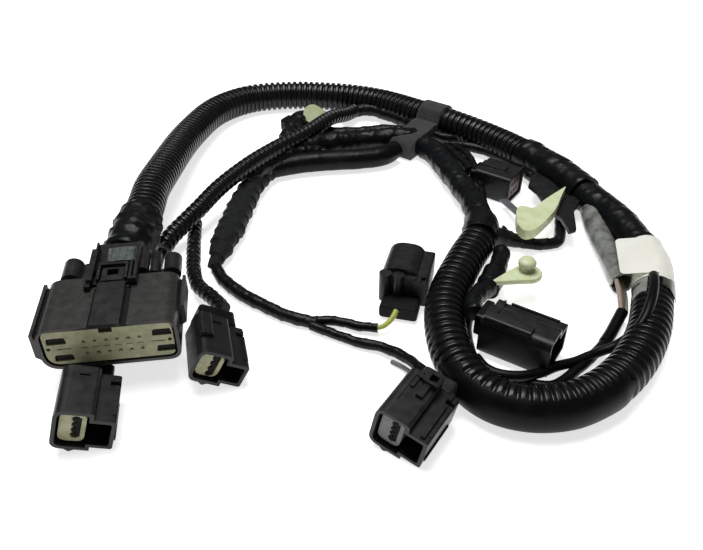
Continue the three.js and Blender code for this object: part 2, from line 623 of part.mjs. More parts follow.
// Far collar: tape that binds the branches side by side under the trunk
const collar = standing([...COLLAR.centre, COLLAR.low], COLLAR_TURN);
const collarCorner = (COLLAR.height - COLLAR.flat) / 2;
const collarShape = rectangle(-COLLAR.width / 2, 0, COLLAR.width / 2, COLLAR.height, collarCorner);
const collarGeometry = drawnAlongY(collarShape, -COLLAR.length / 2, COLLAR.length / 2);
addPiece(collar, 'far_collar_tape', collarGeometry.rotateZ(-Math.PI / 2), BAND_CLOTH);

// Clip 1: a nylon head on a taped base
const clipBase = standing([...CLIP_1_BASE.centre, CLIP_1_BASE.low], CLIP_1_BASE.turn);
const [baseLength, baseWidth, baseHeight] = CLIP_1_BASE.size;
const baseShape = rectangle(-baseWidth / 2, 0, baseWidth / 2, baseHeight, CLIP_1_BASE.corner);
const baseGeometry = drawnAlongY(baseShape, -baseLength / 2, baseLength / 2);
addPiece(clipBase, 'clip_1_base', baseGeometry.rotateZ(-Math.PI / 2), TAPE);

function ovalPad(length, width) {
  const shape = new THREE.Shape();
  shape.absellipse(0, 0, length / 2, width / 2, 0, 2 * Math.PI);
  return shape;
}

const clipOneLow = Math.max(CLIP_1_BASE.low + baseHeight, UPPER_BUNDLE_TOP) + CLEARANCE;
const clipOne = standing([...CLIP_1.centre, clipOneLow], CLIP_1.turn);
const clipOnePad = flatPiece(ovalPad(CLIP_1.length, CLIP_1.width), 0, CLIP_1.thickness);
const knobPad = ovalPad(CLIP_1_KNOB.length, CLIP_1_KNOB.width);
const knob = flatPiece(knobPad, CLIP_1.thickness - SINK, CLIP_1_KNOB.height + SINK);
addPiece(clipOne, 'clip_1', joined(clipOnePad, [knob]), NYLON);

// Clip 2 lies on the side plate beside the trunk
const outlineShape = (points) => new THREE.Shape(points.map((point) => new THREE.Vector2(...point)));
const plateTop = SIDE_PLATE.low + SIDE_PLATE.thickness;
const platePiece = flatPiece(outlineShape(SIDE_PLATE_OUTLINE), SIDE_PLATE.low, SIDE_PLATE.thickness);
addPiece(harness, 'side_plate', platePiece, TAPE);
const clipTwo = flatPiece(outlineShape(CLIP_2_OUTLINE), plateTop + CLEARANCE, CLIP_2_THICKNESS);
addPiece(harness, 'clip_2', clipTwo, NYLON);

// Clip 3: a long oval pad with a push stud
const clipThree = standing([...CLIP_3.centre, CLIP_3.low], CLIP_3.turn);
const studHeadEnd = STUD.neckLength + STUD.headLength;
const studProfile = [
  [0, 0], [STUD.neck, 0], [STUD.neck, STUD.neckLength], [STUD.head, STUD.neckLength + STUD.head - STUD.neck],
  [STUD.head, studHeadEnd], [STUD.tip, studHeadEnd + STUD.tipLength], [0, studHeadEnd + STUD.tipLength],
];
const stud = new THREE.LatheGeometry(studProfile.map((point) => new THREE.Vector2(...point)), 12);
stud.rotateX(Math.PI / 2).translate(STUD.x, 0, CLIP_3.thickness - SINK);
const clipThreePad = flatPiece(ovalPad(CLIP_3.length, CLIP_3.width), 0, CLIP_3.thickness);
addPiece(clipThree, 'clip_3', joined(clipThreePad, [stud]), NYLON);

// Ribbon of three flat wires from the far plug to clip 2
const ribbonStart = new THREE.Vector3(...RIBBON.start);
const ribbonEnd = new THREE.Vector3(...RIBBON.end);
const ribbonLine = ribbonEnd.clone().sub(ribbonStart);
const ribbonShape = new THREE.BoxGeometry(RIBBON.width, ribbonLine.length(), RIBBON.thickness);
const ribbon = addPiece(harness, 'gray_ribbon', ribbonShape, finish(0x6c6d72, 0.6));
ribbon.position.copy(ribbonStart).add(ribbonEnd).multiplyScalar(0.5);
ribbon.rotation.order = 'ZXY';
ribbon.rotation.z = Math.atan2(-ribbonLine.x, ribbonLine.y);
ribbon.rotation.x = Math.atan2(ribbonLine.z, Math.hypot(ribbonLine.x, ribbonLine.y));

export default harness;
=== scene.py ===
"""A vehicle wiring harness on a pale table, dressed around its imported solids.

Sizes are in millimetres on the table, as the harness was laid out, and MM turns them to metres.
The table's own frame has the camera above (0, 0). TABLE_CENTRE is the harness's middle in it, and
it is taken off every place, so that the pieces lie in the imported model's frame.
"""

import logging
import math
from dataclasses import dataclass, field
from enum import Enum
from typing import Optional, Sequence

import bmesh
import bpy
from mathutils import Matrix, Vector

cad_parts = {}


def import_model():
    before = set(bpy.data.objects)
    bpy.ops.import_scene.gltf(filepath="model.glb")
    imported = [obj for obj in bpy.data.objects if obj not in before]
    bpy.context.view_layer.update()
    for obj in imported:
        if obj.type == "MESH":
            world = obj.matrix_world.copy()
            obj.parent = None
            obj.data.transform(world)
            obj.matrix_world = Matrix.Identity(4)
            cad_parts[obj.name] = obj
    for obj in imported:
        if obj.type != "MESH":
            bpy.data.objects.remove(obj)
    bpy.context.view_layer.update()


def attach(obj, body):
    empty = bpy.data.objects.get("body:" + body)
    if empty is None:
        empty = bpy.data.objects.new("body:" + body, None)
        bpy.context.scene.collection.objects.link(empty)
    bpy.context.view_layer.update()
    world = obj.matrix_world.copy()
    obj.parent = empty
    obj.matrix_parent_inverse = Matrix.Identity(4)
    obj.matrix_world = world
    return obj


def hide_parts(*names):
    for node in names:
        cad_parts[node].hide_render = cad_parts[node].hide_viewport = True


LOG = logging.getLogger("harness")
MM = 0.001
TABLE_CENTRE = (9.2, 246.7)
# The gap between neighbouring parts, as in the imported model
CLEARANCE = 0.3
# How deep a raised part starts inside the body that carries it, so that the two join
SINK = 0.4
# How far a cut goes past the face that it opens, and a core past the faces that it joins
PAST = 1.0

Point = Sequence[float]
Outline = list[tuple[float, float]]

# Places along the tubes, in table millimetres, listed from one end to the other
ROUTES: dict[str, list[Point]] = {
    "main_rear_tape": [(-76, 202.3, 16.4), (-75.6, 214, 17), (-76.1, 221, 17), (-76.2, 227.6, 17)],
    "trunk_far_conduit": [
        (-76.2, 226, 17), (-76.7, 237.5, 16.6), (-77.5, 248.5, 16), (-77, 268, 14), (-74, 310, 9.5),
        (-65.5, 340, 7.6), (-51.5, 354.5, 7), (-31, 359.5, 6.9), (-10, 358, 6.9), (3, 355, 6.9),
        (16.5, 348.5, 7.1), (32, 335, 8.1), (47, 323.5, 8.1), (62, 311.5, 7.1), (75, 296.5, 6.9),
        (84.5, 281, 6.9), (91.5, 267, 6.9),
    ],
    "trunk_corner_tape": [
        (91.8, 266.2, 7), (96.5, 255.5, 7.2), (101.5, 243.5, 7.2), (104.5, 230, 7.2), (106, 217, 7.2),
        (104.4, 203.4, 6.9),
    ],
    "trunk_near_conduit": [
        (104.2, 202.6, 6.7), (100.5, 192, 6.7), (94, 176, 6.7), (84.5, 161.5, 6.7), (73.5, 151, 6.7),
        (62, 145, 6.7), (50.5, 144, 6.7), (41.5, 147, 6.7), (35.5, 153, 6.7), (31.5, 163, 6.7),
        (30, 174.5, 6.7), (30.5, 186, 6.7), (33, 196.5, 6.7), (37, 206.5, 6.7), (42, 217.5, 6.7),
        (47, 227, 6.7),
    ],
    "junction_tape": [(47.7, 228.7, 6.8), (49.3, 235, 6.8), (49.6, 243, 6.8)],
    "inner_branch_tape": [
        (49.7, 243.9, 6.8), (48.6, 254.5, 6.8), (45, 271, 6.5), (41.2, 286, 6), (37.5, 299, 5.4),
        (32.9, 307.2, 5.2),
    ],
    "right_lead": [
        (56.5, 236, 5.4), (59.5, 234.6, 3.7), (64, 232.6, 2.6), (73.5, 231.4, 2.3), (79, 233.5, 2.3),
        (81.2, 240, 2.6), (83, 247.5, 3), (87, 253.2, 3.6),
    ],
    "small_conduit": [
        (-69.6, 223.3, 5.8), (-67.5, 229, 7.2), (-63.5, 236.5, 8.6), (-59, 245, 10), (-53, 258, 11.5),
        (-43, 274, 13), (-33.5, 287.5, 13.2), (-20, 305.5, 12.4), (-10, 323.5, 11), (-2.5, 338, 6.4),
        (1, 344.4, 5.2),
    ],
    "branch_b": [
        (-61.5, 246, 2.7), (-60.5, 236, 2.7), (-58.8, 225, 3), (-56.8, 213.5, 3.8), (-53, 202, 5.2),
        (-46, 192.5, 7), (-41.9, 186.3, 7.7),
    ],
    "fleece_branch": [
        (-35, 285.2, 4.6), (-38.5, 280, 4.4), (-42, 269.5, 4.4), (-44.5, 256, 4.4), (-46.5, 240.5, 4.4),
        (-48.5, 227, 4.2), (-49.7, 220, 3.4), (-50, 216, 2.8),
    ],
    "flat_sleeve": [
        (20.2, 303.3, 5.2), (14, 297.6, 5), (4, 294.6, 5), (-12, 292.6, 5), (-23, 290.4, 5),
        (-36.4, 284.6, 4.7),
    ],
    "upper_bundle": [
        (24.2, 320.9, 4.4), (15, 323.8, 3.8), (4, 321.8, 3.6), (-8, 321.5, 3.6), (-17.5, 326, 3.6),
        (-23, 329.6, 3.6),
    ],
    "lower_branch": [
        (-50, 219.1, 2.6), (-47, 211.5, 2.3), (-42.5, 205.5, 2.3), (-37, 200, 2.3), (-29.5, 194.5, 2.3),
        (-21, 189, 2.3), (-11.5, 185.5, 2.3),
    ],
    "lead_c": [(-13.4, 186.6, 2.4), (-4.5, 186.6, 2.2), (2.5, 184.2, 2.1), (8.6, 182.9, 2.6)],
    "lead_d": [
        (-13.2, 184.6, 2.1), (-4.5, 180, 1.9), (2.5, 176.5, 1.9), (9.5, 174, 2.2), (16, 168.5, 3.5),
        (20.8, 160.5, 5.6), (23.7, 153.8, 7),
    ],
    "yellow_wire": [(8, 182.9, 2.5), (10.5, 183.2, 3), (13, 184.8, 4.4), (14.8, 187.6, 6)],
    "gray_wire": [(12.6, 168.6, 0.9), (16, 165.6, 1.3), (18.9, 160.8, 2.7), (21, 154.5, 4.4)],
    "loop_branch": [
        (80.4, 175.2, 2), (76, 170.4, 2), (70, 164.6, 2), (60, 157, 2), (51, 159, 2), (43.5, 162.5, 2),
        (38.6, 168, 2), (37.5, 175, 2), (37.9, 184, 2), (41, 193, 2.6), (45.5, 198.8, 3.9),
    ],
    "lead_e": [(39.4, 182.1, 9.2), (39.6, 186.6, 9.2), (42.6, 193.4, 8.6), (46.8, 198.4, 7.4)],
    "clip_3_tape": [(46.8, 199.4, 5.8), (50.4, 208.2, 5.8)],
    "bundle_e": [(50.6, 208.8, 5.8), (53, 214.5, 5.8), (55, 221, 6)],
    "lead_a": [
        (-77.4, 163.1, 4.7), (-76, 170, 3.4), (-73.5, 182, 2.4), (-70.5, 195, 2.4), (-69.6, 206, 3),
        (-70.2, 214, 4.4), (-69.9, 221.8, 5.5),
    ],
    "lead_f": [
        (38, 314.4, 4.6), (43.5, 307, 4.4), (47.5, 297, 4.6), (50, 288, 5.4), (51.2, 281.4, 6),
    ],
    "wire_cover": [(90.3, 189.6, 3.6), (87.3, 185, 3), (84, 180, 2.4), (81.2, 176.2, 2.1)],
    "pink_wire": [(92.4, 226, 5.5), (92.3, 210, 6.2), (91.6, 200, 5.8), (89.9, 189.8, 4.2)],
    "brown_wire": [(92.5, 226, 4.4), (94, 210, 4.4), (93.2, 200, 4.2), (91, 191.4, 3.6)],
    "green_wire": [(93.7, 226, 2.8), (95.4, 210, 2.6), (94.6, 200, 2.4), (92.5, 191.4, 2)],
    "id_sleeve": [
        (95, 249.5, 5.6), (94.2, 238, 5), (94.3, 224, 4.8), (94.3, 214, 4.7), (94.4, 204, 4.5),
    ],
    "white_label": [(105.8, 220, 7.2), (105.5, 209, 7.1), (102.2, 196.8, 6.8)],
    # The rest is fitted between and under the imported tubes, where the photograph shows more of them
    "front_cover": [
        (75.4, 152.7, 6.7), (73.5, 151, 6.7), (62, 145, 6.7), (50.5, 144, 6.7), (41.5, 147, 6.7),
        (35.5, 153, 6.7), (33.2, 158, 6.7),
    ],
    "trunk_lead": [
        (100.6, 196.5, 13.9), (99.7, 193.7, 14.6), (97.2, 186.8, 14.8), (94.1, 180.4, 14.2),
        (90.8, 175.2, 12), (86.6, 172.2, 8.5), (82.5, 171.4, 5), (77.9, 170.4, 3.6), (73.5, 168.5, 3.2),
        (69.3, 166.5, 3), (62.6, 163.7, 3.6), (56.6, 159.9, 4.6), (50.3, 158.2, 5), (44.4, 159, 5),
        (40.7, 162, 4.6), (38.6, 167, 4.2),
    ],
    "back_upper": [
        (35.2, 320.2, 6), (43.9, 315.9, 5), (55.6, 315.4, 4.5), (66.6, 310.8, 4.5), (75.7, 302.4, 5),
        (83.6, 292.4, 5.5), (88.2, 281.5, 6),
    ],
    "back_lower": [
        (33.9, 314.9, 5), (41.9, 309.8, 4.5), (52.5, 308.8, 4), (61.9, 303.8, 4), (68.9, 296.1, 4),
        (73.8, 286.9, 4.5), (77.6, 277.2, 5), (80.3, 266.3, 5.5),
    ],
    "inner_strand": [
        (46.6, 309.8, 4), (51.6, 299, 5), (53.6, 284.2, 6), (53.5, 267.9, 6.5), (52.5, 252.8, 7),
        (50.5, 239.6, 7),
    ],
    "right_lead_root": [
        (47.6, 228.6, 7), (52.6, 231, 6), (57.6, 232.6, 4.6), (63, 232.8, 3), (69, 232, 2.5),
    ],
    "branch_knot": [
        (-44.5, 270.4, 7.6), (-40.5, 277, 8), (-35.3, 285.9, 8), (-28.9, 292.3, 7.6), (-20.8, 297, 6.8),
        (-12, 299.5, 6),
    ],
    "middle_bundle": [
        (-31.5, 293.5, 8), (-14.5, 305.2, 6.6), (2.9, 311, 6), (19.7, 313.2, 6), (30.6, 312.6, 6),
    ],
    "clip_tail": [
        (-19, 334.5, 5.6), (-24.5, 330, 6), (-27.5, 321.3, 6.4), (-30.1, 305.9, 7), (-33.6, 292.4, 7.6),
    ],
    "upper_tail": [
        (-6, 341.8, 4.2), (-0.8, 344.6, 4.5), (9.3, 346.2, 5), (18.2, 340.3, 5), (27.6, 331.2, 5),
        (32.4, 322.2, 6),
    ],
    "label_tail": [(102.5, 197.6, 6.8), (101.6, 194.6, 6.7), (100.7, 192.2, 6.7)],
    "sleeve_tail": [(102.5, 197.6, 6.8), (101.6, 194.6, 6.7), (99.2, 188.4, 6.7)],
    "far_tape": [(77, 293.6, 7.5), (84.5, 281, 7.7), (91.5, 267, 7.7), (94.4, 260, 7.6)],
}

# The side plate and clip 2, seen from above, in table millimetres
SIDE_PLATE_OUTLINE: list[Point] = [
    (75.8, 274), (73, 266), (75.4, 260.5), (76.3, 254.3), (79.2, 243), (80.7, 241), (81.7, 231.5),
    (84.9, 233), (87, 246), (91, 253), (88.5, 263.4), (85, 271.2), (80.5, 279),
]
CLIP_2_OUTLINE: list[Point] = [
    (85.8, 257.3), (81.6, 248.5), (78.5, 240.9), (73.7, 233.7), (67.5, 226), (63.1, 224.5),
    (61.2, 229.8), (62.6, 239.5), (65, 243.3), (69.4, 240.4), (75.6, 247.7),
]


def linear(code: str) -> tuple[float, float, float, float]:
    """Turns an sRGB hex colour to linear red, green, blue and alpha.

    Args:
        code: Six hex digits.

    Returns:
        The linear colour with alpha 1.
    """
    channels = [int(code[index:index + 2], 16) / 255 for index in (0, 2, 4)]
    curve = [c / 12.92 if c <= 0.04045 else ((c + 0.055) / 1.055) ** 2.4 for c in channels]
    return (curve[0], curve[1], curve[2], 1.0)


def add(tree: bpy.types.NodeTree, kind: str, inputs: Optional[dict] = None,
        **settings) -> bpy.types.Node:
    """Adds a node with its settings, its values and its links.

    Args:
        tree: The node tree.
        kind: The node's type name.
        inputs: Values or output sockets, by input name or number.
        **settings: The node's own properties.

    Returns:
        The new node.
    """
    node = tree.nodes.new(kind)
    for name, value in settings.items():
        setattr(node, name, value)
    for key, value in (inputs or {}).items():
        if isinstance(value, bpy.types.NodeSocket):
            tree.links.new(value, node.inputs[key])
        else:
            node.inputs[key].default_value = value
    return node


def per_mm(size: float) -> float:
    """The scale of a pattern in metre coordinates whose features are size millimetres apart."""
    return 1 / (size * MM)


@dataclass(frozen=True)
class Finish:
    """A moulded or extruded plastic: a colour with faint cloudiness, and a fine surface grain.

    Attributes:
        name: What the surface is.
        slot: The record's material slot. Not used.
        colour: The main colour, sRGB hex.
        cloud: The colour of its paler patches.
        cloud_size: The patches' size in millimetres.
        roughness: The roughness at its middle.
        specular: The specular level, 0.5 for a plain dielectric.
        grain: The grain's size in millimetres.
        relief: How strongly the grain shows.
        depth: The height of the grain in millimetres.
        subsurface: How much light goes into the surface.
        sheen: How much light fibres on the surface catch.
        coat: The weight of a clear outer skin.
    """

    name: str
    slot: str
    colour: str
    cloud: str
    cloud_size: float = 3.0
    roughness: float = 0.45
    specular: float = 0.5
    grain: float = 0.5
    relief: float = 0.3
    depth: float = 0.05
    subsurface: float = 0.0
    sheen: float = 0.0
    coat: float = 0.0

    CLOUD_START = 0.38
    CLOUD_FULL = 0.72
    SMOOTHER = 0.07
    ROUGHER = 0.09
    LIGHT_DEPTH = 1.5
    COAT_ROUGHNESS = 0.2

    def relief_height(self, tree: bpy.types.NodeTree,
                      place: bpy.types.NodeSocket) -> bpy.types.NodeSocket:
        """The height pattern of the surface, 0 to 1.

        Args:
            tree: The material's node tree.
            place: The place on the surface.

        Returns:
            The height pattern.
        """
        noise = add(tree, "ShaderNodeTexNoise", {
            "Vector": place, "Scale": per_mm(self.grain), "Detail": 3.0, "Roughness": 0.6,
        })
        return noise.outputs["Fac"]

    def material(self) -> bpy.types.Material:
        """Makes the material, or gives back the one made before.

        Returns:
            The material.
        """
        known = bpy.data.materials.get(self.name)
        if known is not None:
            return known
        material = bpy.data.materials.new(self.name)
        material.use_nodes = True
        tree = material.node_tree
        tree.nodes.clear()
        place = add(tree, "ShaderNodeTexCoord").outputs["Object"]
        clouds = add(tree, "ShaderNodeTexNoise", {
            "Vector": place, "Scale": per_mm(self.cloud_size), "Detail": 4.0, "Roughness": 0.6,
        })
        share = add(tree, "ShaderNodeMapRange", {
            "Value": clouds.outputs["Fac"], "From Min": self.CLOUD_START, "From Max": self.CLOUD_FULL,
        })
        colour = add(tree, "ShaderNodeMix", {
            0: share.outputs["Result"], 6: linear(self.colour), 7: linear(self.cloud),
        }, data_type="RGBA")
        rough = add(tree, "ShaderNodeMapRange", {
            "Value": clouds.outputs["Fac"], "From Min": 0.3, "From Max": 0.7,
            "To Min": self.roughness - self.SMOOTHER, "To Max": self.roughness + self.ROUGHER,
        })
        bump = add(tree, "ShaderNodeBump", {
            "Height": self.relief_height(tree, place), "Strength": self.relief,
            "Distance": self.depth * MM,
        })
        shader = add(tree, "ShaderNodeBsdfPrincipled", {
            "Base Color": colour.outputs[2], "Roughness": rough.outputs["Result"],
            "Normal": bump.outputs["Normal"], "Specular IOR Level": self.specular,
            "Subsurface Weight": self.subsurface, "Subsurface Scale": self.LIGHT_DEPTH * MM,
            "Sheen Weight": self.sheen, "Coat Weight": self.coat,
            "Coat Roughness": self.COAT_ROUGHNESS,
        })
        output = add(tree, "ShaderNodeOutputMaterial", {"Surface": shader.outputs["BSDF"]})
        output.is_active_output = True
        return material


@dataclass(frozen=True)
class WrinkledTape(Finish):
    """Soft PVC tape: long low creases over a fine grain, with a broken gloss on the creases.

    Attributes:
        crease: The distance between creases in millimetres.
    """

    crease: float = 3.5

    WARP_SIZE = 2.5
    WARP_REACH = 1.6
    GRAIN_SHARE = 0.12

    def relief_height(self, tree: bpy.types.NodeTree,
                      place: bpy.types.NodeSocket) -> bpy.types.NodeSocket:
        """Creases from a warped noise, with the grain on top of them.

        Args:
            tree: The material's node tree.
            place: The place on the surface.

        Returns:
            The height pattern.
        """
        warp = add(tree, "ShaderNodeTexNoise", {
            "Vector": place, "Scale": per_mm(self.crease * self.WARP_SIZE),
        })
        bent = add(tree, "ShaderNodeVectorMath", {
            0: warp.outputs["Color"], "Scale": self.crease * MM * self.WARP_REACH,
        }, operation="SCALE")
        moved = add(tree, "ShaderNodeVectorMath", {0: place, 1: bent.outputs["Vector"]},
                    operation="ADD")
        crease = add(tree, "ShaderNodeTexNoise", {
            "Vector": moved.outputs["Vector"], "Scale": per_mm(self.crease), "Detail": 2.0,
        }, noise_type="RIDGED_MULTIFRACTAL")
        grain = add(tree, "ShaderNodeTexNoise", {"Vector": place, "Scale": per_mm(self.grain)})
        mixed = add(tree, "ShaderNodeMath", {
            0: grain.outputs["Fac"], 1: self.GRAIN_SHARE, 2: crease.outputs["Fac"],
        }, operation="MULTIPLY_ADD")
        return mixed.outputs["Value"]


@dataclass(frozen=True)
class WovenTape(Finish):
    """Cloth tape: two crossed sets of threads, drawn coarser than the real 0.3 mm so that they show.

    Attributes:
        thread: The distance between threads in millimetres.
    """

    thread: float = 0.7

    TURN = 38

    def relief_height(self, tree: bpy.types.NodeTree,
                      place: bpy.types.NodeSocket) -> bpy.types.NodeSocket:
        """The greater of two crossed wave patterns.

        Args:
            tree: The material's node tree.
            place: The place on the surface.

        Returns:
            The height pattern.
        """
        turned = add(tree, "ShaderNodeMapping", {
            "Vector": place, "Rotation": (0.0, 0.0, math.radians(self.TURN)),
        })
        waves = [
            add(tree, "ShaderNodeTexWave", {
                "Vector": turned.outputs["Vector"], "Scale": per_mm(self.thread) / (2 * math.pi) * 2,
                "Distortion": 1.5, "Detail": 2.0,
            }, bands_direction=direction).outputs["Fac"]
            for direction in ("X", "Y")
        ]
        higher = add(tree, "ShaderNodeMath", {0: waves[0], 1: waves[1]}, operation="MAXIMUM")
        return higher.outputs["Value"]


# Carbon-black nylon 66, injection-moulded: a satin black, gray where light falls flat on it
PLUG_NYLON = Finish("moulded black nylon", "plug_plastic", "161718", "1f2021", roughness=0.38,
                    specular=0.3, grain=0.35)
# The same nylon on the main plug: a little grayer, as in the photograph
MAIN_NYLON = Finish("moulded dark gray nylon", "plug_plastic", "2b2a29", "343331", roughness=0.36,
                    specular=0.4, grain=0.35)
# The same nylon on the latch, the rear cover and one rear cap: darker than the main housing
LATCH_NYLON = Finish("moulded latch nylon", "plug_plastic", "1c1b1a", "262524", roughness=0.38,
                     specular=0.3, grain=0.35)
# PBT inserts, injection-moulded: dull and slightly dirty
CREAM_PBT = Finish("moulded cream PBT", "cream_insert", "a5a482", "8a8968", roughness=0.55,
                   grain=0.4, subsurface=0.1)
GRAY_PBT = Finish("moulded gray PBT", "gray_insert", "6f7074", "5c5d61", roughness=0.5)
RED_PBT = Finish("moulded dark red PBT", "red_insert", "4a1b16", "33110e", roughness=0.42)
# Painted shade: nearly black plastic with little gloss, set where little light comes, deep in cavities
# and in grooves. Plug c's rear cap is made of it too
CAVITY_BLACK = Finish("unlit cavity plastic", "plug_plastic", "08090a", "0c0c0d", roughness=0.7,
                      specular=0.2)
# Polypropylene conduit, extruded and corrugated: black with sharp streaks of light on its rib crests
CONDUIT_PP = Finish("extruded black polypropylene", "conduit", "0c0d0e", "131415", cloud_size=6.0,
                    roughness=0.27, specular=0.32, grain=0.6, relief=0.25)
# Soft PVC tube, extruded: black and smooth, with one soft streak of light along it
SLEEVE_PVC = Finish("extruded black PVC sleeve", "conduit", "07080a", "0d0e10", cloud_size=8.0,
                    roughness=0.36, specular=0.14, grain=1.5, relief=0.4, depth=0.1)
# Soft PVC tape, calendered and wound by hand: black, with creases that break its gloss up
TAPE_PVC = WrinkledTape("black PVC harness tape", "tape", "07080a", "101214", cloud_size=5.0,
                        roughness=0.34, specular=0.18, relief=0.55, depth=0.35, crease=3.2)
FINE_TAPE = WrinkledTape("black PVC tape on thin leads", "tape", "07080a", "101214", cloud_size=4.0,
                         roughness=0.34, specular=0.18, relief=0.5, depth=0.22, crease=2.0)
# A smooth sheet, darker and duller than the conduit, laid lengthwise over the lower side of the near
# conduit's front stretch
SMOOTH_DARK_SHEET = WrinkledTape("smooth dark sheet over ribs", "tape", "060708", "0a0b0c", cloud_size=8.0,
                           roughness=0.4, specular=0.12, relief=0.25, depth=0.2, crease=6.0)
# Polyester fleece tape, needled: dull black with a short felted nap
FLEECE = Finish("black needled fleece tape", "fleece", "090b0c", "17191b", cloud_size=2.2,
                roughness=0.7, specular=0.2, grain=0.7, relief=0.9, depth=0.3, sheen=0.04)
# Polyester cloth tape, woven: dark gray and dull, with its threads just seen
BAND_CLOTH = WovenTape("dark gray woven cloth tape", "cloth_tape", "343433", "414140",
                       roughness=0.85, specular=0.25, relief=0.5, depth=0.15, sheen=0.2)
# Undyed nylon 66, injection-moulded: pale green-cream, with light going a little way into it
NYLON = Finish("natural nylon clip", "nylon", "dbe3bb", "c3cd9c", cloud_size=6.0, roughness=0.42,
               subsurface=0.25, grain=1.2, relief=0.15)
# White vinyl, calendered and cut: flat and even, with a soft gloss
LABEL = Finish("white vinyl label", "white_label", "f4f4ea", "e8e8dc", cloud_size=9.0,
               roughness=0.45, grain=2.0, relief=0.1)
# The same vinyl in gray, where it shows beside the white
LABEL_GRAY = Finish("gray vinyl under the label", "white_label", "8d8e89", "6b6d6a", roughness=0.45)
# Clear vinyl laid over black conduit: olive gray, glossier than the white
LABEL_TAIL = Finish("clear vinyl label tail", "white_label", "3a3b30", "5c5d4b", cloud_size=2.5,
                    roughness=0.3, coat=0.3)
# Clear PVC sleeve, extruded, over dark wires: blotchy gray under a wet gloss
CLEAR_SLEEVE = Finish("gray clear sleeve", "gray_sleeve", "8b8d88", "3e403f", cloud_size=4.2,
                      roughness=0.28, grain=2.0, relief=0.5, depth=0.3, coat=0.5)
# Silicone rubber, moulded: gray-green under a wet gloss
SEAL_RUBBER = Finish("gray-green silicone seal", "rear_seal", "5d6663", "333a38", cloud_size=2.0,
                     roughness=0.3, coat=0.4)
# PVC wire insulation, extruded in its code colours: even, with a soft gloss
YELLOW_WIRE = Finish("yellow-green wire insulation", "yellow_wire", "b9c25a", "a3ac48", roughness=0.35)
GRAY_WIRE = Finish("gray wire insulation", "gray_wire", "6f7074", "595a5e", roughness=0.35)
PINK_WIRE = Finish("dusty pink wire insulation", "pink_wire", "a3948c", "8d7d75", roughness=0.35)
BROWN_WIRE = Finish("olive brown wire insulation", "brown_wire", "6a5f45", "574d37", roughness=0.35)
GREEN_WIRE = Finish("gray-green wire insulation", "green_wire", "87927f", "707b69", roughness=0.35)
# Brass, stamped and tinned: too small here for a metal's shine, a dull yellow-gray
TIN = Finish("tinned terminal", "gray_wire", "6a694f", "57563f", roughness=0.3, specular=0.6)


def smooth_route(route: Sequence[Point], spacing: float = 0.5) -> list[Vector]:
    """Follows a route with a smooth centripetal curve through its points.

    Args:
        route: The points in table millimetres. A fourth number is a radius share.
        spacing: The distance between samples in millimetres.

    Returns:
        Points of four numbers: the place in table millimetres, and the radius share.
    """
    points = [Vector((*p, 1.0)) if len(p) == 3 else Vector(p) for p in route]
    if len(points) == 2:
        points = [points[0], points[0].lerp(points[1], 0.5), points[1]]
    padded = [2 * points[0] - points[1], *points, 2 * points[-1] - points[-2]]
    out: list[Vector] = []
    for index in range(1, len(padded) - 2):
        four = padded[index - 1:index + 3]
        knots = [0.0]
        for before, after in zip(four, four[1:]):
            knots.append(knots[-1] + max((after - before).xyz.length ** 0.5, 1e-4))
        steps = max(2, round((four[2] - four[1]).xyz.length / spacing))
        for step in range(steps):
            t = knots[1] + (knots[2] - knots[1]) * step / steps
            out.append(_between(four, knots, t))
    out.append(points[-1])
    return out


def _between(four: Sequence[Vector], knots: Sequence[float], t: float) -> Vector:
    """The curve's point at t between the second and third of four points.

    Args:
        four: Four neighbouring points.
        knots: Their places along the curve.
        t: Where the wanted point is, on the same scale as the knots.

    Returns:
        The point.
    """
    first = [
        four[i] * ((knots[i + 1] - t) / (knots[i + 1] - knots[i]))
        + four[i + 1] * ((t - knots[i]) / (knots[i + 1] - knots[i]))
        for i in range(3)
    ]
    second = [
        first[i] * ((knots[i + 2] - t) / (knots[i + 2] - knots[i]))
        + first[i + 1] * ((t - knots[i]) / (knots[i + 2] - knots[i]))
        for i in range(2)
    ]
    share = (t - knots[1]) / (knots[2] - knots[1])
    return second[0] * (1 - share) + second[1] * share


def in_frame(point: Sequence[float]) -> Vector:
    """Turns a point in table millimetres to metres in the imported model's frame."""
    return Vector(((point[0] - TABLE_CENTRE[0]) * MM, (point[1] - TABLE_CENTRE[1]) * MM, point[2] * MM))


def link(obj: bpy.types.Object) -> bpy.types.Object:
    """Puts an object in the scene."""
    bpy.context.scene.collection.objects.link(obj)
    return obj


def mesh_piece(name: str, bm: bmesh.types.BMesh) -> bpy.types.Object:
    """Turns a bmesh to an object in the scene and frees it.

    Args:
        name: The object's name.
        bm: The bmesh.

    Returns:
        The object.
    """
    mesh = bpy.data.meshes.new(name)
    bm.to_mesh(mesh)
    bm.free()
    return link(bpy.data.objects.new(name, mesh))


def apply_modifiers(obj: bpy.types.Object) -> bpy.types.Object:
    """Bakes an object's modifiers into a plain mesh object of the same name.

    Args:
        obj: The object. It is removed.

    Returns:
        The plain mesh object.
    """
    bpy.context.view_layer.update()
    graph = bpy.context.evaluated_depsgraph_get()
    mesh = bpy.data.meshes.new_from_object(obj.evaluated_get(graph), depsgraph=graph)
    name = obj.name
    obj.modifiers.clear()
    bpy.data.objects.remove(obj)
    plain = bpy.data.objects.new(name, mesh)
    plain.name = name
    mesh.name = name
    return link(plain)


def even_shading(piece: bpy.types.Object, angle: float) -> bpy.types.Object:
    """Shades a piece smooth but for its sharp edges, with flat faces kept flat.

    Args:
        piece: The piece. It is replaced by a plain one.
        angle: The angle in degrees past which an edge is sharp.

    Returns:
        The shaded piece.
    """
    piece.data.shade_smooth()
    piece.data.set_sharp_from_angle(angle=math.radians(angle))
    level = piece.modifiers.new("flat faces", "WEIGHTED_NORMAL")
    level.mode = "FACE_AREA"
    level.weight = 100
    level.keep_sharp = True
    return apply_modifiers(piece)


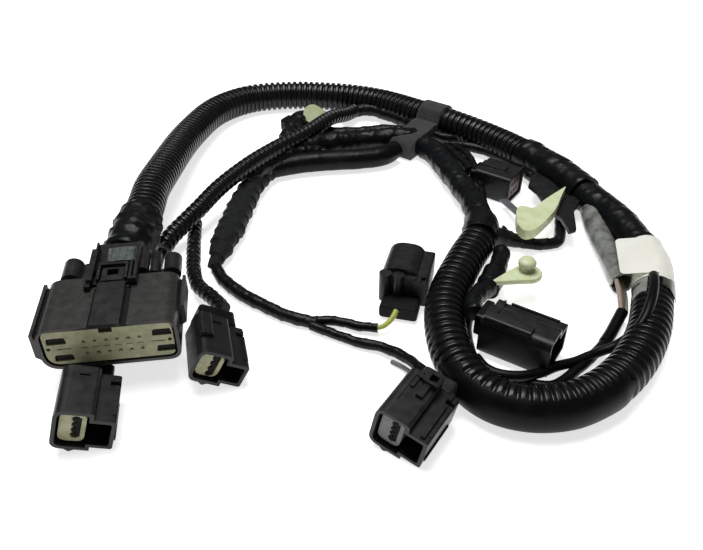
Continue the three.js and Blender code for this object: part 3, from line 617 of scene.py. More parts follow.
def seat_piece(piece: bpy.types.Object, finish: Finish, *nodes: str) -> bpy.types.Object:
    """Gives a piece its finish, sets it on the root body and lets it stand for its CAD nodes.

    Args:
        piece: The finished piece.
        finish: The finish whose material the piece takes, where it has none.
        *nodes: The CAD nodes that it replaces.

    Returns:
        The piece.
    """
    if not piece.data.materials:
        piece.data.materials.append(finish.material())
    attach(piece, "root")
    if nodes:
        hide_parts(*nodes)
    LOG.info("%s: %d faces", piece.name, len(piece.data.polygons))
    return piece


class TubeTree:
    """A Geometry Nodes tree under construction, with its named inputs."""

    def __init__(self, name: str, sizes: dict[str, float]) -> None:
        """Starts a tree.

        Args:
            name: The tree's name.
            sizes: Its inputs' names with their starting values.
        """
        self.tree = bpy.data.node_groups.new(name, "GeometryNodeTree")
        interface = self.tree.interface
        interface.new_socket("Geometry", in_out="OUTPUT", socket_type="NodeSocketGeometry")
        interface.new_socket("Geometry", in_out="INPUT", socket_type="NodeSocketGeometry")
        for label, value in sizes.items():
            kind = "NodeSocketInt" if isinstance(value, int) else "NodeSocketFloat"
            socket = interface.new_socket(label, in_out="INPUT", socket_type=kind)
            socket.default_value = value
        interface.new_socket("Material", in_out="INPUT", socket_type="NodeSocketMaterial")
        self.inputs = self.node("NodeGroupInput").outputs

    def node(self, kind: str, inputs: Optional[dict] = None, **settings) -> bpy.types.Node:
        """Adds a node to this tree."""
        return add(self.tree, kind, inputs, **settings)

    def math(self, operation: str, *values) -> bpy.types.NodeSocket:
        """Adds a Math node and gives its result."""
        return self.node("ShaderNodeMath", dict(enumerate(values)), operation=operation).outputs[0]

    def sweep(self, curve: bpy.types.NodeSocket, profile: bpy.types.NodeSocket,
              capped: bool = True) -> bpy.types.NodeSocket:
        """Sweeps a profile along a curve at the curve's own radius.

        Args:
            curve: The curve.
            profile: The closed profile curve.
            capped: Whether the ends are closed.

        Returns:
            The swept mesh.
        """
        node = self.node("GeometryNodeCurveToMesh", {
            "Curve": curve, "Profile Curve": profile, "Fill Caps": capped,
        })
        if "Scale" in node.inputs:
            self.tree.links.new(self.node("GeometryNodeInputRadius").outputs[0], node.inputs["Scale"])
        return node.outputs["Mesh"]

    def circle(self) -> bpy.types.NodeSocket:
        """A circle of radius 1 with the tree's own number of sides."""
        sides = {"Resolution": self.inputs["Sides"], "Radius": 1.0}
        return self.node("GeometryNodeCurvePrimitiveCircle", sides).outputs["Curve"]

    def end(self, geometry: bpy.types.NodeSocket) -> bpy.types.NodeTree:
        """Finishes the tree: smooth shading, real geometry and the material.

        Args:
            geometry: The geometry to put out.

        Returns:
            The finished tree.
        """
        smooth = self.node("GeometryNodeSetShadeSmooth", {"Geometry": geometry})
        real = self.node("GeometryNodeRealizeInstances", {"Geometry": smooth.outputs["Geometry"]})
        painted = self.node("GeometryNodeSetMaterial", {
            "Geometry": real.outputs["Geometry"], "Material": self.inputs["Material"],
        })
        self.node("NodeGroupOutput", {"Geometry": painted.outputs["Geometry"]})
        return self.tree


def ribbed_tree() -> bpy.types.NodeTree:
    """Corrugated conduit: the radius falls into a valley between one rib crest and the next.

    Returns:
        The node tree.
    """
    made = TubeTree("corrugated conduit", {
        "Radius": 0.0069, "Valley": 0.0007, "Pitch": 0.003, "Crest": 1.1, "Bias": 0.85, "Sides": 40,
    })
    rings_per_rib = 12.0
    step = made.math("DIVIDE", made.inputs["Pitch"], rings_per_rib)
    fine = made.node("GeometryNodeResampleCurve", {"Curve": made.inputs["Geometry"], "Length": step},
                     mode="LENGTH")
    along = made.node("GeometryNodeSplineParameter").outputs["Length"]
    turns = made.math("MULTIPLY", made.math("DIVIDE", along, made.inputs["Pitch"]), 2 * math.pi)
    wave = made.math("MULTIPLY_ADD", made.math("COSINE", turns), made.inputs["Crest"],
                     made.inputs["Bias"])
    rib = made.node("ShaderNodeClamp", {"Value": wave}).outputs[0]
    dip = made.math("MULTIPLY", made.math("SUBTRACT", 1.0, rib), made.inputs["Valley"])
    radius = made.math("SUBTRACT", made.inputs["Radius"], dip)
    share = made.node("GeometryNodeInputRadius").outputs[0]
    sized = made.node("GeometryNodeSetCurveRadius", {
        "Curve": fine.outputs["Curve"], "Radius": made.math("MULTIPLY", share, radius),
    })
    return made.end(made.sweep(sized.outputs["Curve"], made.circle()))


def taped_tree() -> bpy.types.NodeTree:
    """A bundle wound with tape: each turn's edge stands on the turn before, over uneven wires.

    Returns:
        The node tree.
    """
    made = TubeTree("wound tape", {
        "Radius": 0.002, "Width": 1.0, "Height": 1.0, "Spacing": 0.0005, "Sides": 24, "Edge": 0.0002,
        "Pitch": 0.008, "Lump": 0.0004, "Lump Size": 0.006, "Crease": 0.0002, "Crease Size": 0.002,
    })
    fine = made.node("GeometryNodeResampleCurve", {
        "Curve": made.inputs["Geometry"], "Length": made.inputs["Spacing"],
    }, mode="LENGTH")
    level = made.node("GeometryNodeSetCurveNormal", {"Curve": fine.outputs["Curve"]}, mode="Z_UP")
    share = made.node("GeometryNodeInputRadius").outputs[0]
    sized = made.node("GeometryNodeSetCurveRadius", {
        "Curve": level.outputs["Curve"], "Radius": made.math("MULTIPLY", share, made.inputs["Radius"]),
    })
    parameter = made.node("GeometryNodeSplineParameter")
    marked = made.node("GeometryNodeStoreNamedAttribute", {
        "Geometry": sized.outputs["Curve"], "Name": "along", "Value": parameter.outputs["Length"],
    }, data_type="FLOAT", domain="POINT")
    turn = made.node("GeometryNodeStoreNamedAttribute", {
        "Geometry": made.circle(), "Name": "around",
        "Value": made.node("GeometryNodeSplineParameter").outputs["Factor"],
    }, data_type="FLOAT", domain="POINT")
    oval = made.node("ShaderNodeCombineXYZ", {
        0: made.inputs["Width"], 1: made.inputs["Height"], 2: 1.0,
    })
    section = made.node("GeometryNodeTransform", {
        "Geometry": turn.outputs["Geometry"], "Scale": oval.outputs["Vector"],
    })
    tube = made.sweep(marked.outputs["Geometry"], section.outputs["Geometry"])
    along, around = (
        made.node("GeometryNodeInputNamedAttribute", {"Name": name}, data_type="FLOAT").outputs[0]
        for name in ("along", "around")
    )
    wound = made.math("ADD", made.math("DIVIDE", along, made.inputs["Pitch"]), around)
    edge_sharpness = 2.5
    slope = made.math("POWER", made.math("FRACT", wound), edge_sharpness)
    rise = made.math("MULTIPLY", slope, made.inputs["Edge"])
    place = made.node("GeometryNodeInputPosition").outputs[0]
    for size, height in (("Lump Size", "Lump"), ("Crease Size", "Crease")):
        noise = made.node("ShaderNodeTexNoise", {
            "Vector": place, "Scale": made.math("DIVIDE", 1.0, made.inputs[size]), "Detail": 2.0,
        })
        centred = made.math("SUBTRACT", noise.outputs["Fac"], 0.5)
        rise = made.math("ADD", rise, made.math("MULTIPLY", centred, made.inputs[height]))
    outward = made.node("ShaderNodeVectorMath", {
        0: made.node("GeometryNodeInputNormal").outputs["Normal"], "Scale": rise,
    }, operation="SCALE")
    moved = made.node("GeometryNodeSetPosition", {
        "Geometry": tube, "Offset": outward.outputs["Vector"],
    })
    return made.end(moved.outputs["Geometry"])


def row_tree() -> bpy.types.NodeTree:
    """A straight row of small blocks, such as the contacts in an insert.

    Returns:
        The node tree.
    """
    made = TubeTree("row of contacts", {
        "Count": 6, "Pitch": 3.3, "Width": 0.5, "Depth": 2.0, "Height": 0.5,
    })
    offset = made.node("ShaderNodeCombineXYZ", {0: made.inputs["Pitch"], 1: 0.0, 2: 0.0})
    line = made.node("GeometryNodeMeshLine", {
        "Count": made.inputs["Count"], "Offset": offset.outputs["Vector"],
    }, mode="OFFSET")
    size = made.node("ShaderNodeCombineXYZ", {
        0: made.inputs["Width"], 1: made.inputs["Depth"], 2: made.inputs["Height"],
    })
    block = made.node("GeometryNodeMeshCube", {"Size": size.outputs["Vector"]})
    placed = made.node("GeometryNodeInstanceOnPoints", {
        "Points": line.outputs["Mesh"], "Instance": block.outputs["Mesh"],
    })
    return made.end(placed.outputs["Instances"])


def run_tree(obj: bpy.types.Object, tree: bpy.types.NodeTree, finish: Finish,
             sizes: dict[str, float]) -> bpy.types.Object:
    """Runs a node tree on an object and bakes the result.

    Args:
        obj: The curve or mesh that the tree starts from. It is removed.
        tree: The node tree.
        finish: The finish for its material input.
        sizes: Values for its named inputs.

    Returns:
        The plain mesh object.
    """
    modifier = obj.modifiers.new("made", "NODES")
    modifier.node_group = tree
    values = {**sizes, "Material": finish.material()}
    for item in tree.interface.items_tree:
        if item.in_out == "INPUT" and item.name in values:
            modifier[item.identifier] = values[item.name]
    return apply_modifiers(obj)


def route_curve(name: str, samples: Sequence[Vector]) -> bpy.types.Object:
    """Makes a poly curve through samples, with their radius shares.

    Args:
        name: The object's name.
        samples: Points from smooth_route.

    Returns:
        The curve object.
    """
    curve = bpy.data.curves.new(name, "CURVE")
    curve.dimensions = "3D"
    spline = curve.splines.new("POLY")
    spline.points.add(len(samples) - 1)
    for point, sample in zip(spline.points, samples):
        point.co = (*in_frame(sample), 1.0)
        point.radius = sample.w
    return link(bpy.data.objects.new(name, curve))


class Cover(Enum):
    """How a tube is covered."""

    RIBBED = "corrugated conduit"
    TAPED = "wound tape"


@dataclass
class Tube:
    """One conduit, taped branch, lead or wire, made along its route.

    Attributes:
        name: The piece's name, and the route's.
        radius: Its outer radius in millimetres.
        cover: How it is covered.
        finish: Its finish.
        sizes: The cover tree's sizes in millimetres, counts and shares.
        shares: The radius share at each route point, where it isn't 1 all along.
        packed: Whether a CAD node of its name is there, which it stands for.
    """

    name: str
    radius: float
    cover: Cover
    finish: Finish
    sizes: dict[str, float] = field(default_factory=dict)
    shares: Sequence[float] = ()
    packed: bool = True

    PLAIN_SIZES = ("Sides", "Crest", "Bias", "Width", "Height")

    def samples(self) -> list[Vector]:
        """The route's dense points with their radius shares.

        Returns:
            The points.
        """
        route = ROUTES[self.name]
        if self.shares:
            route = [(*point, share) for point, share in zip(route, self.shares)]
        return smooth_route(route)

    def build(self, trees: dict[Cover, bpy.types.NodeTree]) -> bpy.types.Object:
        """Makes the tube's mesh and sets it in the scene.

        Args:
            trees: The node tree of each cover.

        Returns:
            The finished piece.
        """
        sizes = {
            key: value if key in self.PLAIN_SIZES else value * MM
            for key, value in self.sizes.items()
        }
        sizes["Radius"] = self.radius * MM
        curve = route_curve(f"{self.name}_tube", self.samples())
        piece = run_tree(curve, trees[self.cover], self.finish, sizes)
        seat_piece(piece, self.finish, *([self.name] if self.packed else []))
        return piece


@dataclass(frozen=True)
class CordFacts:
    """What is known of a free cord before its shape.

    Attributes:
        name: The tube's name. Not used.
        diameter: Its diameter in millimetres. Not used.
        far_end: What it ends in. Not used.
        stiffness: How stiff it is. Not used.
        on_it: The pieces on it. Not used.
    """

    name: str
    diameter: float
    far_end: str = "object"
    stiffness: str = "medium"
    on_it: tuple[str, ...] = ()


def thick_tape(**sizes: float) -> dict[str, float]:
    """The sizes of tape wound on a thick bundle, with changes."""
    return {"Sides": 48, "Spacing": 0.6, "Edge": 0.35, "Pitch": 9.0, "Lump": 1.2, "Lump Size": 9.0,
            "Crease": 0.5, "Crease Size": 2.6, **sizes}


def thin_tape(**sizes: float) -> dict[str, float]:
    """The sizes of tape wound on a thin lead, with changes."""
    return {"Sides": 24, "Spacing": 0.5, "Edge": 0.2, "Pitch": 6.0, "Lump": 0.7, "Lump Size": 5.0,
            "Crease": 0.25, "Crease Size": 1.4, **sizes}


def plain_wire(**sizes: float) -> dict[str, float]:
    """The sizes of a smooth wire or sleeve, with changes."""
    return {"Sides": 16, "Spacing": 0.6, "Edge": 0.0, "Pitch": 10.0, "Lump": 0.0, "Lump Size": 5.0,
            "Crease": 0.0, "Crease Size": 2.0, **sizes}


TUBES = [
    Tube("trunk_far_conduit", 6.9, Cover.RIBBED, CONDUIT_PP,
         {"Valley": 0.95, "Pitch": 2.8, "Sides": 44}),
    Tube("trunk_near_conduit", 6.7, Cover.RIBBED, CONDUIT_PP,
         {"Valley": 1.0, "Pitch": 3.05, "Sides": 48}),
    Tube("small_conduit", 3.5, Cover.RIBBED, CONDUIT_PP,
         {"Valley": 0.6, "Pitch": 2.9, "Sides": 30}),
    Tube("main_rear_tape", 7.9, Cover.TAPED, TAPE_PVC,
         thick_tape(Edge=0.9, Pitch=7.0, Lump=2.4, Crease=1.3), (1.0, 1.0, 0.98, 0.9)),
    Tube("trunk_corner_tape", 6.2, Cover.TAPED, TAPE_PVC, thick_tape(Edge=0.25, Pitch=14.0, Lump=1.6)),
    Tube("junction_tape", 6.4, Cover.TAPED, TAPE_PVC, thick_tape(Edge=0.5, Lump=1.6),
         (1.02, 1.04, 0.86)),
    Tube("inner_branch_tape", 5.1, Cover.TAPED, TAPE_PVC,
         thick_tape(Sides=44, Edge=0.25, Pitch=15.0, Lump=2.4, Crease=1.1),
         (1.0, 0.98, 0.96, 1.0, 1.0, 1.0)),
    Tube("right_lead", 2.2, Cover.TAPED, FINE_TAPE, thin_tape(),
         (1.25, 1.1, 1.0, 1.0, 0.95, 0.95, 1.0, 1.1)),
    Tube("branch_b", 2.4, Cover.TAPED, FINE_TAPE, thin_tape(Edge=0.3, Pitch=3.2)),
    Tube("fleece_branch", 4.2, Cover.TAPED, FLEECE,
         thick_tape(Sides=44, Width=1.16, Height=0.86, Edge=0.7, Pitch=6.5, Crease=1.2, Lump=2.0),
         (0.78, 0.86, 0.98, 1.08, 1.05, 0.88, 0.56, 0.42)),
    Tube("flat_sleeve", 4.6, Cover.TAPED, SLEEVE_PVC,
         thick_tape(Width=1.02, Height=0.96, Edge=0.1, Crease=0.1, Lump=0.4),
         (0.9, 1.0, 1.0, 1.0, 1.0, 0.85)),
    Tube("upper_bundle", 3.4, Cover.TAPED, TAPE_PVC, thick_tape(Sides=36, Edge=0.3, Lump=1.0)),
    Tube("lower_branch", 2.1, Cover.TAPED, FINE_TAPE, thin_tape(),
         (0.9, 1.05, 1.12, 1.1, 1.05, 1.0, 0.95)),
    Tube("lead_c", 1.6, Cover.TAPED, FINE_TAPE, thin_tape(Sides=20)),
    Tube("lead_d", 1.6, Cover.TAPED, FINE_TAPE, thin_tape(Sides=20)),
    Tube("yellow_wire", 0.9, Cover.TAPED, YELLOW_WIRE, plain_wire()),
    Tube("gray_wire", 0.8, Cover.TAPED, GRAY_WIRE, plain_wire()),
    Tube("loop_branch", 1.7, Cover.TAPED, SLEEVE_PVC, thin_tape(Edge=0.05, Lump=0.3, Crease=0.1)),
    Tube("lead_e", 3.1, Cover.TAPED, FINE_TAPE, thin_tape(Sides=32, Lump=1.2, Crease=0.6)),
    Tube("clip_3_tape", 4.1, Cover.TAPED, TAPE_PVC, thick_tape(Sides=36, Edge=0.4, Lump=1.8)),
    Tube("bundle_e", 3.2, Cover.TAPED, FINE_TAPE, thin_tape(Sides=32, Lump=1.2)),
    Tube("lead_a", 2.0, Cover.TAPED, FINE_TAPE, thin_tape()),
    Tube("lead_f", 2.0, Cover.TAPED, FINE_TAPE, thin_tape()),
    Tube("wire_cover", 2.0, Cover.TAPED, SLEEVE_PVC, plain_wire(Sides=24)),
    Tube("pink_wire", 0.8, Cover.TAPED, PINK_WIRE, plain_wire()),
    Tube("brown_wire", 0.8, Cover.TAPED, BROWN_WIRE, plain_wire()),
    Tube("green_wire", 0.8, Cover.TAPED, GREEN_WIRE, plain_wire()),
    Tube("trunk_lead", 1.6, Cover.TAPED, SLEEVE_PVC, plain_wire(Sides=24), packed=False),
    Tube("back_upper", 2.0, Cover.TAPED, FINE_TAPE, thin_tape(), packed=False),
    Tube("back_lower", 2.2, Cover.TAPED, FINE_TAPE, thin_tape(), packed=False),
    Tube("inner_strand", 1.7, Cover.TAPED, FINE_TAPE, thin_tape(), packed=False),
    Tube("right_lead_root", 2.3, Cover.TAPED, FINE_TAPE, thin_tape(Lump=1.0),
         (2.0, 1.75, 1.5, 1.2, 0.98), packed=False),
    Tube("branch_knot", 4.2, Cover.TAPED, TAPE_PVC,
         thick_tape(Sides=40, Edge=0.9, Pitch=7.0, Lump=2.4, Crease=1.4),
         (0.5, 0.85, 1.0, 1.0, 0.85, 0.5), packed=False),
    Tube("middle_bundle", 4.8, Cover.TAPED, TAPE_PVC, thick_tape(Sides=40, Lump=2.0, Crease=1.0),
         (0.7, 1.0, 0.95, 0.95, 0.9), packed=False),
    Tube("clip_tail", 3.4, Cover.TAPED, TAPE_PVC, thick_tape(Sides=36, Edge=0.6, Lump=1.8, Crease=1.2),
         (1.2, 1.45, 1.2, 1.1, 1.0), packed=False),
    Tube("upper_tail", 3.0, Cover.TAPED, FINE_TAPE, thin_tape(Edge=0.3, Lump=1.0), packed=False),
    Tube("far_tape", 7.3, Cover.TAPED, TAPE_PVC, thick_tape(Edge=0.3, Pitch=17.0, Lump=1.8, Crease=0.6),
         packed=False),
]


def rounded(points: Sequence[Point], radii: Sequence[float], steps: int = 5) -> Outline:
    """Rounds the corners of a closed outline.

    Args:
        points: The corners, in order.
        radii: Each corner's radius.
        steps: How many pieces each rounded corner has.

    Returns:
        The outline's points.
    """
    out: Outline = []
    for index, point in enumerate(points):
        corner = Vector(point)
        before = Vector(points[index - 1]) - corner
        after = Vector(points[(index + 1) % len(points)]) - corner
        radius = min(radii[index], before.length / 2, after.length / 2)
        if radius <= 0:
            out.append((corner.x, corner.y))
            continue
        start = corner + before.normalized() * radius
        end = corner + after.normalized() * radius
        for step in range(steps + 1):
            t = step / steps
            spot = start * (1 - t) ** 2 + corner * 2 * t * (1 - t) + end * t * t
            out.append((spot.x, spot.y))
    return out


def oblong(left: float, low: float, right: float, high: float, radius: float) -> Outline:
    """A rectangle with round corners."""
    return rounded([(left, low), (right, low), (right, high), (left, high)], [radius] * 4)


class Moulding:
    """A moulded body in its own millimetres: closed blocks joined, others cut away."""

    # The distance at which corners merge, then the angles in degrees up to which neighbouring faces
    # count as one, and from which their edge is rounded and shaded sharp
    MERGE = 0.004
    FLAT_ANGLE = 1
    BEVEL_ANGLE = 32
    SHARP_ANGLE = 38

    def __init__(self, name: str, seat: Matrix) -> None:
        """Starts an empty body.

        Args:
            name: The piece's name.
            seat: The matrix from the body's millimetres to the model's metres.
        """
        self.name = f"{name}_moulding"
        self.seat = seat
        self.shells: list[bmesh.types.BMesh] = []
        self.holes: list[bmesh.types.BMesh] = []

    def _drawn(self, corners: Sequence[Point], shift: Point, hole: bool) -> None:
        """Draws a flat outline out into a closed block, and adds it or cuts it away.

        Args:
            corners: The outline's corners in space.
            shift: How far it is drawn out along X, Y and Z.
            hole: Whether it is cut away.
        """
        bm = bmesh.new()
        face = bm.faces.new([bm.verts.new(corner) for corner in corners])
        moved = bmesh.ops.extrude_face_region(bm, geom=[face])
        verts = [v for v in moved["geom"] if isinstance(v, bmesh.types.BMVert)]
        bmesh.ops.translate(bm, verts=verts, vec=shift)
        bmesh.ops.recalc_face_normals(bm, faces=bm.faces)
        (self.holes if hole else self.shells).append(bm)

    def prism(self, outline: Sequence[Point], start: float, end: float, hole: bool = False) -> None:
        """Adds an outline in X and Z, drawn out along Y, or cuts it away."""
        self._drawn([(x, start, z) for x, z in outline], (0, end - start, 0), hole)

    def slab(self, outline: Sequence[Point], low: float, high: float, hole: bool = False) -> None:
        """Adds an outline in X and Y, drawn out along Z, or cuts it away."""
        self._drawn([(x, y, low) for x, y in outline], (0, 0, high - low), hole)

    def block(self, low: Point, high: Point, hole: bool = False) -> None:
        """Adds a box between two corners, or cuts it away."""
        outline = [(low[0], low[2]), (high[0], low[2]), (high[0], high[2]), (low[0], high[2])]
        self.prism(outline, low[1], high[1], hole)

    def post(self, x: float, z: float, radius: float, start: float, end: float, sides: int = 24,
             hole: bool = False) -> None:
        """Adds a round post along Y, or cuts it away."""
        turns = [step * (2 * math.pi / sides) for step in range(sides)]
        ring = [(x + radius * math.cos(turn), z + radius * math.sin(turn)) for turn in turns]
        self.prism(ring, start, end, hole)

    def _tool(self, parts: Sequence[bmesh.types.BMesh], name: str) -> bpy.types.Object:
        """Puts several closed shells in one object.

        Args:
            parts: The shells. They are freed.
            name: The object's name.

        Returns:
            The object.
        """
        whole = bmesh.new()
        for part in parts:
            mesh = bpy.data.meshes.new(name)
            part.to_mesh(mesh)
            part.free()
            whole.from_mesh(mesh)
            bpy.data.meshes.remove(mesh)
        return mesh_piece(name, whole)

    def build(self, bevel: float = 0.25, segments: int = 2) -> bpy.types.Object:
        """Joins, cuts and rounds the body.

        Args:
            bevel: The edge rounding in millimetres.
            segments: The rounding's number of steps.

        Returns:
            The body as a plain mesh object in the model's frame.
        """
        body = self._tool(self.shells[:1], self.name)
        tools = []
        for parts, operation in ((self.shells[1:], "UNION"), (self.holes, "DIFFERENCE")):
            if parts:
                tool = self._tool(parts, f"{self.name}_{operation.lower()}")
                tools.append(tool)
                change = body.modifiers.new(operation, "BOOLEAN")
                change.operation = operation
                change.object = tool
                change.solver = "EXACT"
                change.use_self = True
        body = apply_modifiers(body)
        for tool in tools:
            bpy.data.objects.remove(tool)
        bm = bmesh.new()
        bm.from_mesh(body.data)
        bmesh.ops.remove_doubles(bm, verts=bm.verts, dist=self.MERGE)
        bmesh.ops.dissolve_limit(bm, angle_limit=math.radians(self.FLAT_ANGLE), verts=bm.verts,
                                 edges=bm.edges)
        bm.to_mesh(body.data)
        bm.free()
        if bevel > 0:
            round_off = body.modifiers.new("edges", "BEVEL")
            round_off.width = bevel
            round_off.segments = segments
            round_off.limit_method = "ANGLE"
            round_off.angle_limit = math.radians(self.BEVEL_ANGLE)
            round_off.use_clamp_overlap = True
            body = apply_modifiers(body)
        body.data.transform(self.seat)
        return even_shading(body, self.SHARP_ANGLE)


def plug_seat(rear: Point, turn: float, reach: float) -> Matrix:
    """The matrix of a plug whose rear end is at a place on the table.

    Args:
        rear: The rear end's middle in table millimetres.
        turn: The plug's turn about Z in degrees.
        reach: The distance from the mating face to the rear end.

    Returns:
        The matrix from the plug's millimetres to the model's metres.
    """
    angle = math.radians(turn)
    front = (rear[0] + reach * math.sin(angle), rear[1] - reach * math.cos(angle), rear[2])
    return Matrix.Translation(in_frame(front)) @ Matrix.Rotation(angle, 4, "Z") @ Matrix.Scale(MM, 4)


@dataclass
class FourWayPlug:
    """A four-way plug: a receptacle with its insert on the left, and an open latch bay on the right.

    Attributes:
        name: The plug's name.
        rear: Its rear end on the table in millimetres.
        turn: Its turn about Z in degrees.
        length: Its length without the rear cap.
        cap: The rear cap's width, height, lowest height and length.
        insert_finish: The insert's finish.
        width: Its width.
        height: Its height.
        shell: Where the front shell ends, if a narrower rear body follows.
        cap_finish: The rear cap's finish.
        roll: How far its top leans to its right, in degrees.
        face: The middle of the insert's face on the table, where the plug lies askew.
        plain: Whether its top is plain, without rails.
        rib: Whether a long raised rib runs along the left of its top.
        hoop: Whether a square hoop stands at the rear of its top.
    """

    name: str
    rear: tuple[float, float]
    turn: float
    length: float
    cap: tuple[float, float, float, float]
    insert_finish: Finish
    width: float = 16.5
    height: float = 14.0
    shell: Optional[float] = None
    cap_finish: Finish = FINE_TAPE
    roll: float = 0.0
    face: Optional[tuple[float, float, float]] = None
    plain: bool = False
    rib: bool = False
    hoop: bool = False

    WALL = 1.1
    CAVITY = 9.6
    BAY = 6.0
    BAY_LOW = 1.4
    BAY_DROP = 2.4
    GAP = 0.6
    RECESS = 1.5
    KEY_TIP = 0.9
    PITCH = 2.05
    COLUMN = 2.7
    WAYS = 4
    HOLE_DEPTH = 5

    def seat(self) -> Matrix:
        """The plug's matrix."""
        if self.face is None:
            reach = self.length + CLEARANCE + self.cap[3]
            return plug_seat((*self.rear, self.KEY_TIP), self.turn, reach)
        spun = Matrix.Rotation(math.radians(self.turn), 4, "Z")
        lie = spun @ Matrix.Rotation(math.radians(self.roll), 4, "Y")
        middle = lie @ Vector((-self.BAY / 2, self.RECESS, self.height / 2))
        return Matrix.Translation(in_frame(Vector(self.face) - middle)) @ lie @ Matrix.Scale(MM, 4)

    def outline(self, inset: float) -> Outline:
        """The outline of receptacle and bay together, moved inwards."""
        left = -self.width / 2 + inset
        right = self.width / 2 - inset
        step = self.width / 2 - self.BAY - inset
        low = self.BAY_LOW + inset
        high = self.height - self.BAY_DROP - inset
        top = self.height - inset
        corner = 3 - inset
        points = [(left, inset), (step, inset), (step, low), (right, low), (right, high), (step, high),
                  (step, top), (left, top)]
        return rounded(points, [corner, 0, 0, 0.8, 0.8, 0, corner / 2, corner])

    def housing(self) -> bpy.types.Object:
        """The moulded housing with its rails, grooves and mouth."""
        body = Moulding(f"{self.name}_housing", self.seat())
        middle = -self.BAY / 2
        rail = middle + 1
        right = self.width / 2
        left = -right
        top = self.height
        bay_top = top - self.BAY_DROP
        back = self.length
        body.prism(self.outline(0), 0, back)
        if not self.plain:
            body.block((rail, back - 9, top - SINK), (rail + 2, back, top + 1.1))
            body.block((rail - 3.2, back - 7, top - SINK), (rail - 1.8, back, top + 0.7))
            body.block((rail - 3.2, back - 3, top - SINK), (rail + 2, back - 1.6, top + 1.1))
            body.block((middle - 2.4, back * 0.3, top - 0.35), (middle - 1.9, back + PAST, top + PAST),
                       hole=True)
            step = (self.width - self.BAY) / 2
            body.block((step, 1, bay_top - SINK), (step + 1.2, back, bay_top + 0.9))
        else:
            body.block((rail - 1.4, back - 3.6, top - SINK), (rail + 1.4, back - 2.6, top + 0.5))
        if self.rib:
            corners = [(left + 0.6, top - 2), (left + 0.2, top + 1.1), (left + 4, top + 1.3),
                       (left + 4.2, top - SINK)]
            body.prism(rounded(corners, [0, 1, 0.5, 0]), 7, back - 1)
        if self.hoop:
            body.block((rail - 0.5, back - 4, top - SINK), (rail + 4, back + 0.6, top + 1.9))
            body.block((rail + 0.6, back - 3, top - 0.1), (rail + 2.9, back - 0.5, top + 3),
                       hole=True)
        body.block((right - 1.3, 2.5, bay_top - SINK), (right - 0.5, back - 2, bay_top + 0.5))
        body.block((right - SINK, 1, 4), (right + 0.5, back - 4, 5))
        key = [(middle - 2, SINK), (middle, -self.KEY_TIP), (middle + 2, SINK)]
        body.prism(key, 0, back - 5.5)
        body.prism(self.outline(self.WALL), -PAST, self.CAVITY, hole=True)
        body.block((right - 3, back - 4.5, bay_top - 1), (right + PAST, back - 2.6, bay_top + 2),
                   hole=True)
        return seat_piece(body.build(), PLUG_NYLON, f"{self.name}_housing")

    def ways(self) -> list[float]:
        """The heights of the contacts, from the lowest."""
        first = (self.WAYS - 1) / 2
        return [self.height / 2 + (index - first) * self.PITCH for index in range(self.WAYS)]

    def mouth(self) -> tuple[float, float]:
        """The left and right sides of the insert."""
        margin = self.WALL + self.GAP
        return -self.width / 2 + margin, self.width / 2 - self.BAY - margin

    def insert(self) -> bpy.types.Object:
        """The insert with its scalloped row of four cavities."""
        left, right = self.mouth()
        low = self.WALL + self.GAP
        high = self.height - low
        body = Moulding(f"{self.name}_insert", self.seat())
        body.prism(oblong(left, low, right, high, 2.4), self.RECESS, self.CAVITY - CLEARANCE)
        column = right - self.COLUMN
        middle = self.height / 2
        tall = 2 * self.PITCH
        start = self.RECESS - PAST
        deep = self.RECESS + self.HOLE_DEPTH
        for z in self.ways():
            body.post(column, z, 1.15, start, deep, sides=16, hole=True)
        body.block((column, start, middle - tall + 0.4), (column + 1.4, deep, middle + tall - 0.4),
                   hole=True)
        return seat_piece(body.build(bevel=0.18), self.insert_finish, f"{self.name}_insert")

    def cavity_shade(self) -> bpy.types.Object:
        """A nearly black block behind the cavities, with a slim contact in each: painted shade that
        keeps the cavities dark.
        """
        column = self.mouth()[1] - self.COLUMN
        body = Moulding(f"{self.name}_terminals", self.seat())
        start = self.RECESS + 0.5
        middle = self.height / 2
        # Painted shade: a black block set behind the cavities so that they look dark
        body.block((column - 1.5, start, middle - 4.6), (column + 1.7, start + 3, middle + 4.6))
        for z in self.ways():
            body.block((column - 0.25, start - 0.3, z - 0.3), (column + 0.25, start + 0.4, z + 0.3))
        return seat_piece(body.build(bevel=0.0), CAVITY_BLACK)

    def rear_cap(self) -> bpy.types.Object:
        """The cap or wrapped end that the lead goes into."""
        width, height, low, length = self.cap
        start = self.length + CLEARANCE
        body = Moulding(f"{self.name}_rear_cap", self.seat())
        body.prism(oblong(-width / 2, low, width / 2, low + height, 1.4), start, start + length)
        body.prism(oblong(-width / 2 + 0.8, low + 0.8, width / 2 - 0.8, low + height - 0.8, 1.2),
                   self.length - PAST, start + PAST)
        return seat_piece(body.build(bevel=0.5, segments=3), self.cap_finish, f"{self.name}_rear_cap")

    def build(self) -> None:
        """Makes the plug's pieces."""
        self.housing()
        self.insert()
        # The black block behind the cavities is painted shade
        self.cavity_shade()
        self.rear_cap()


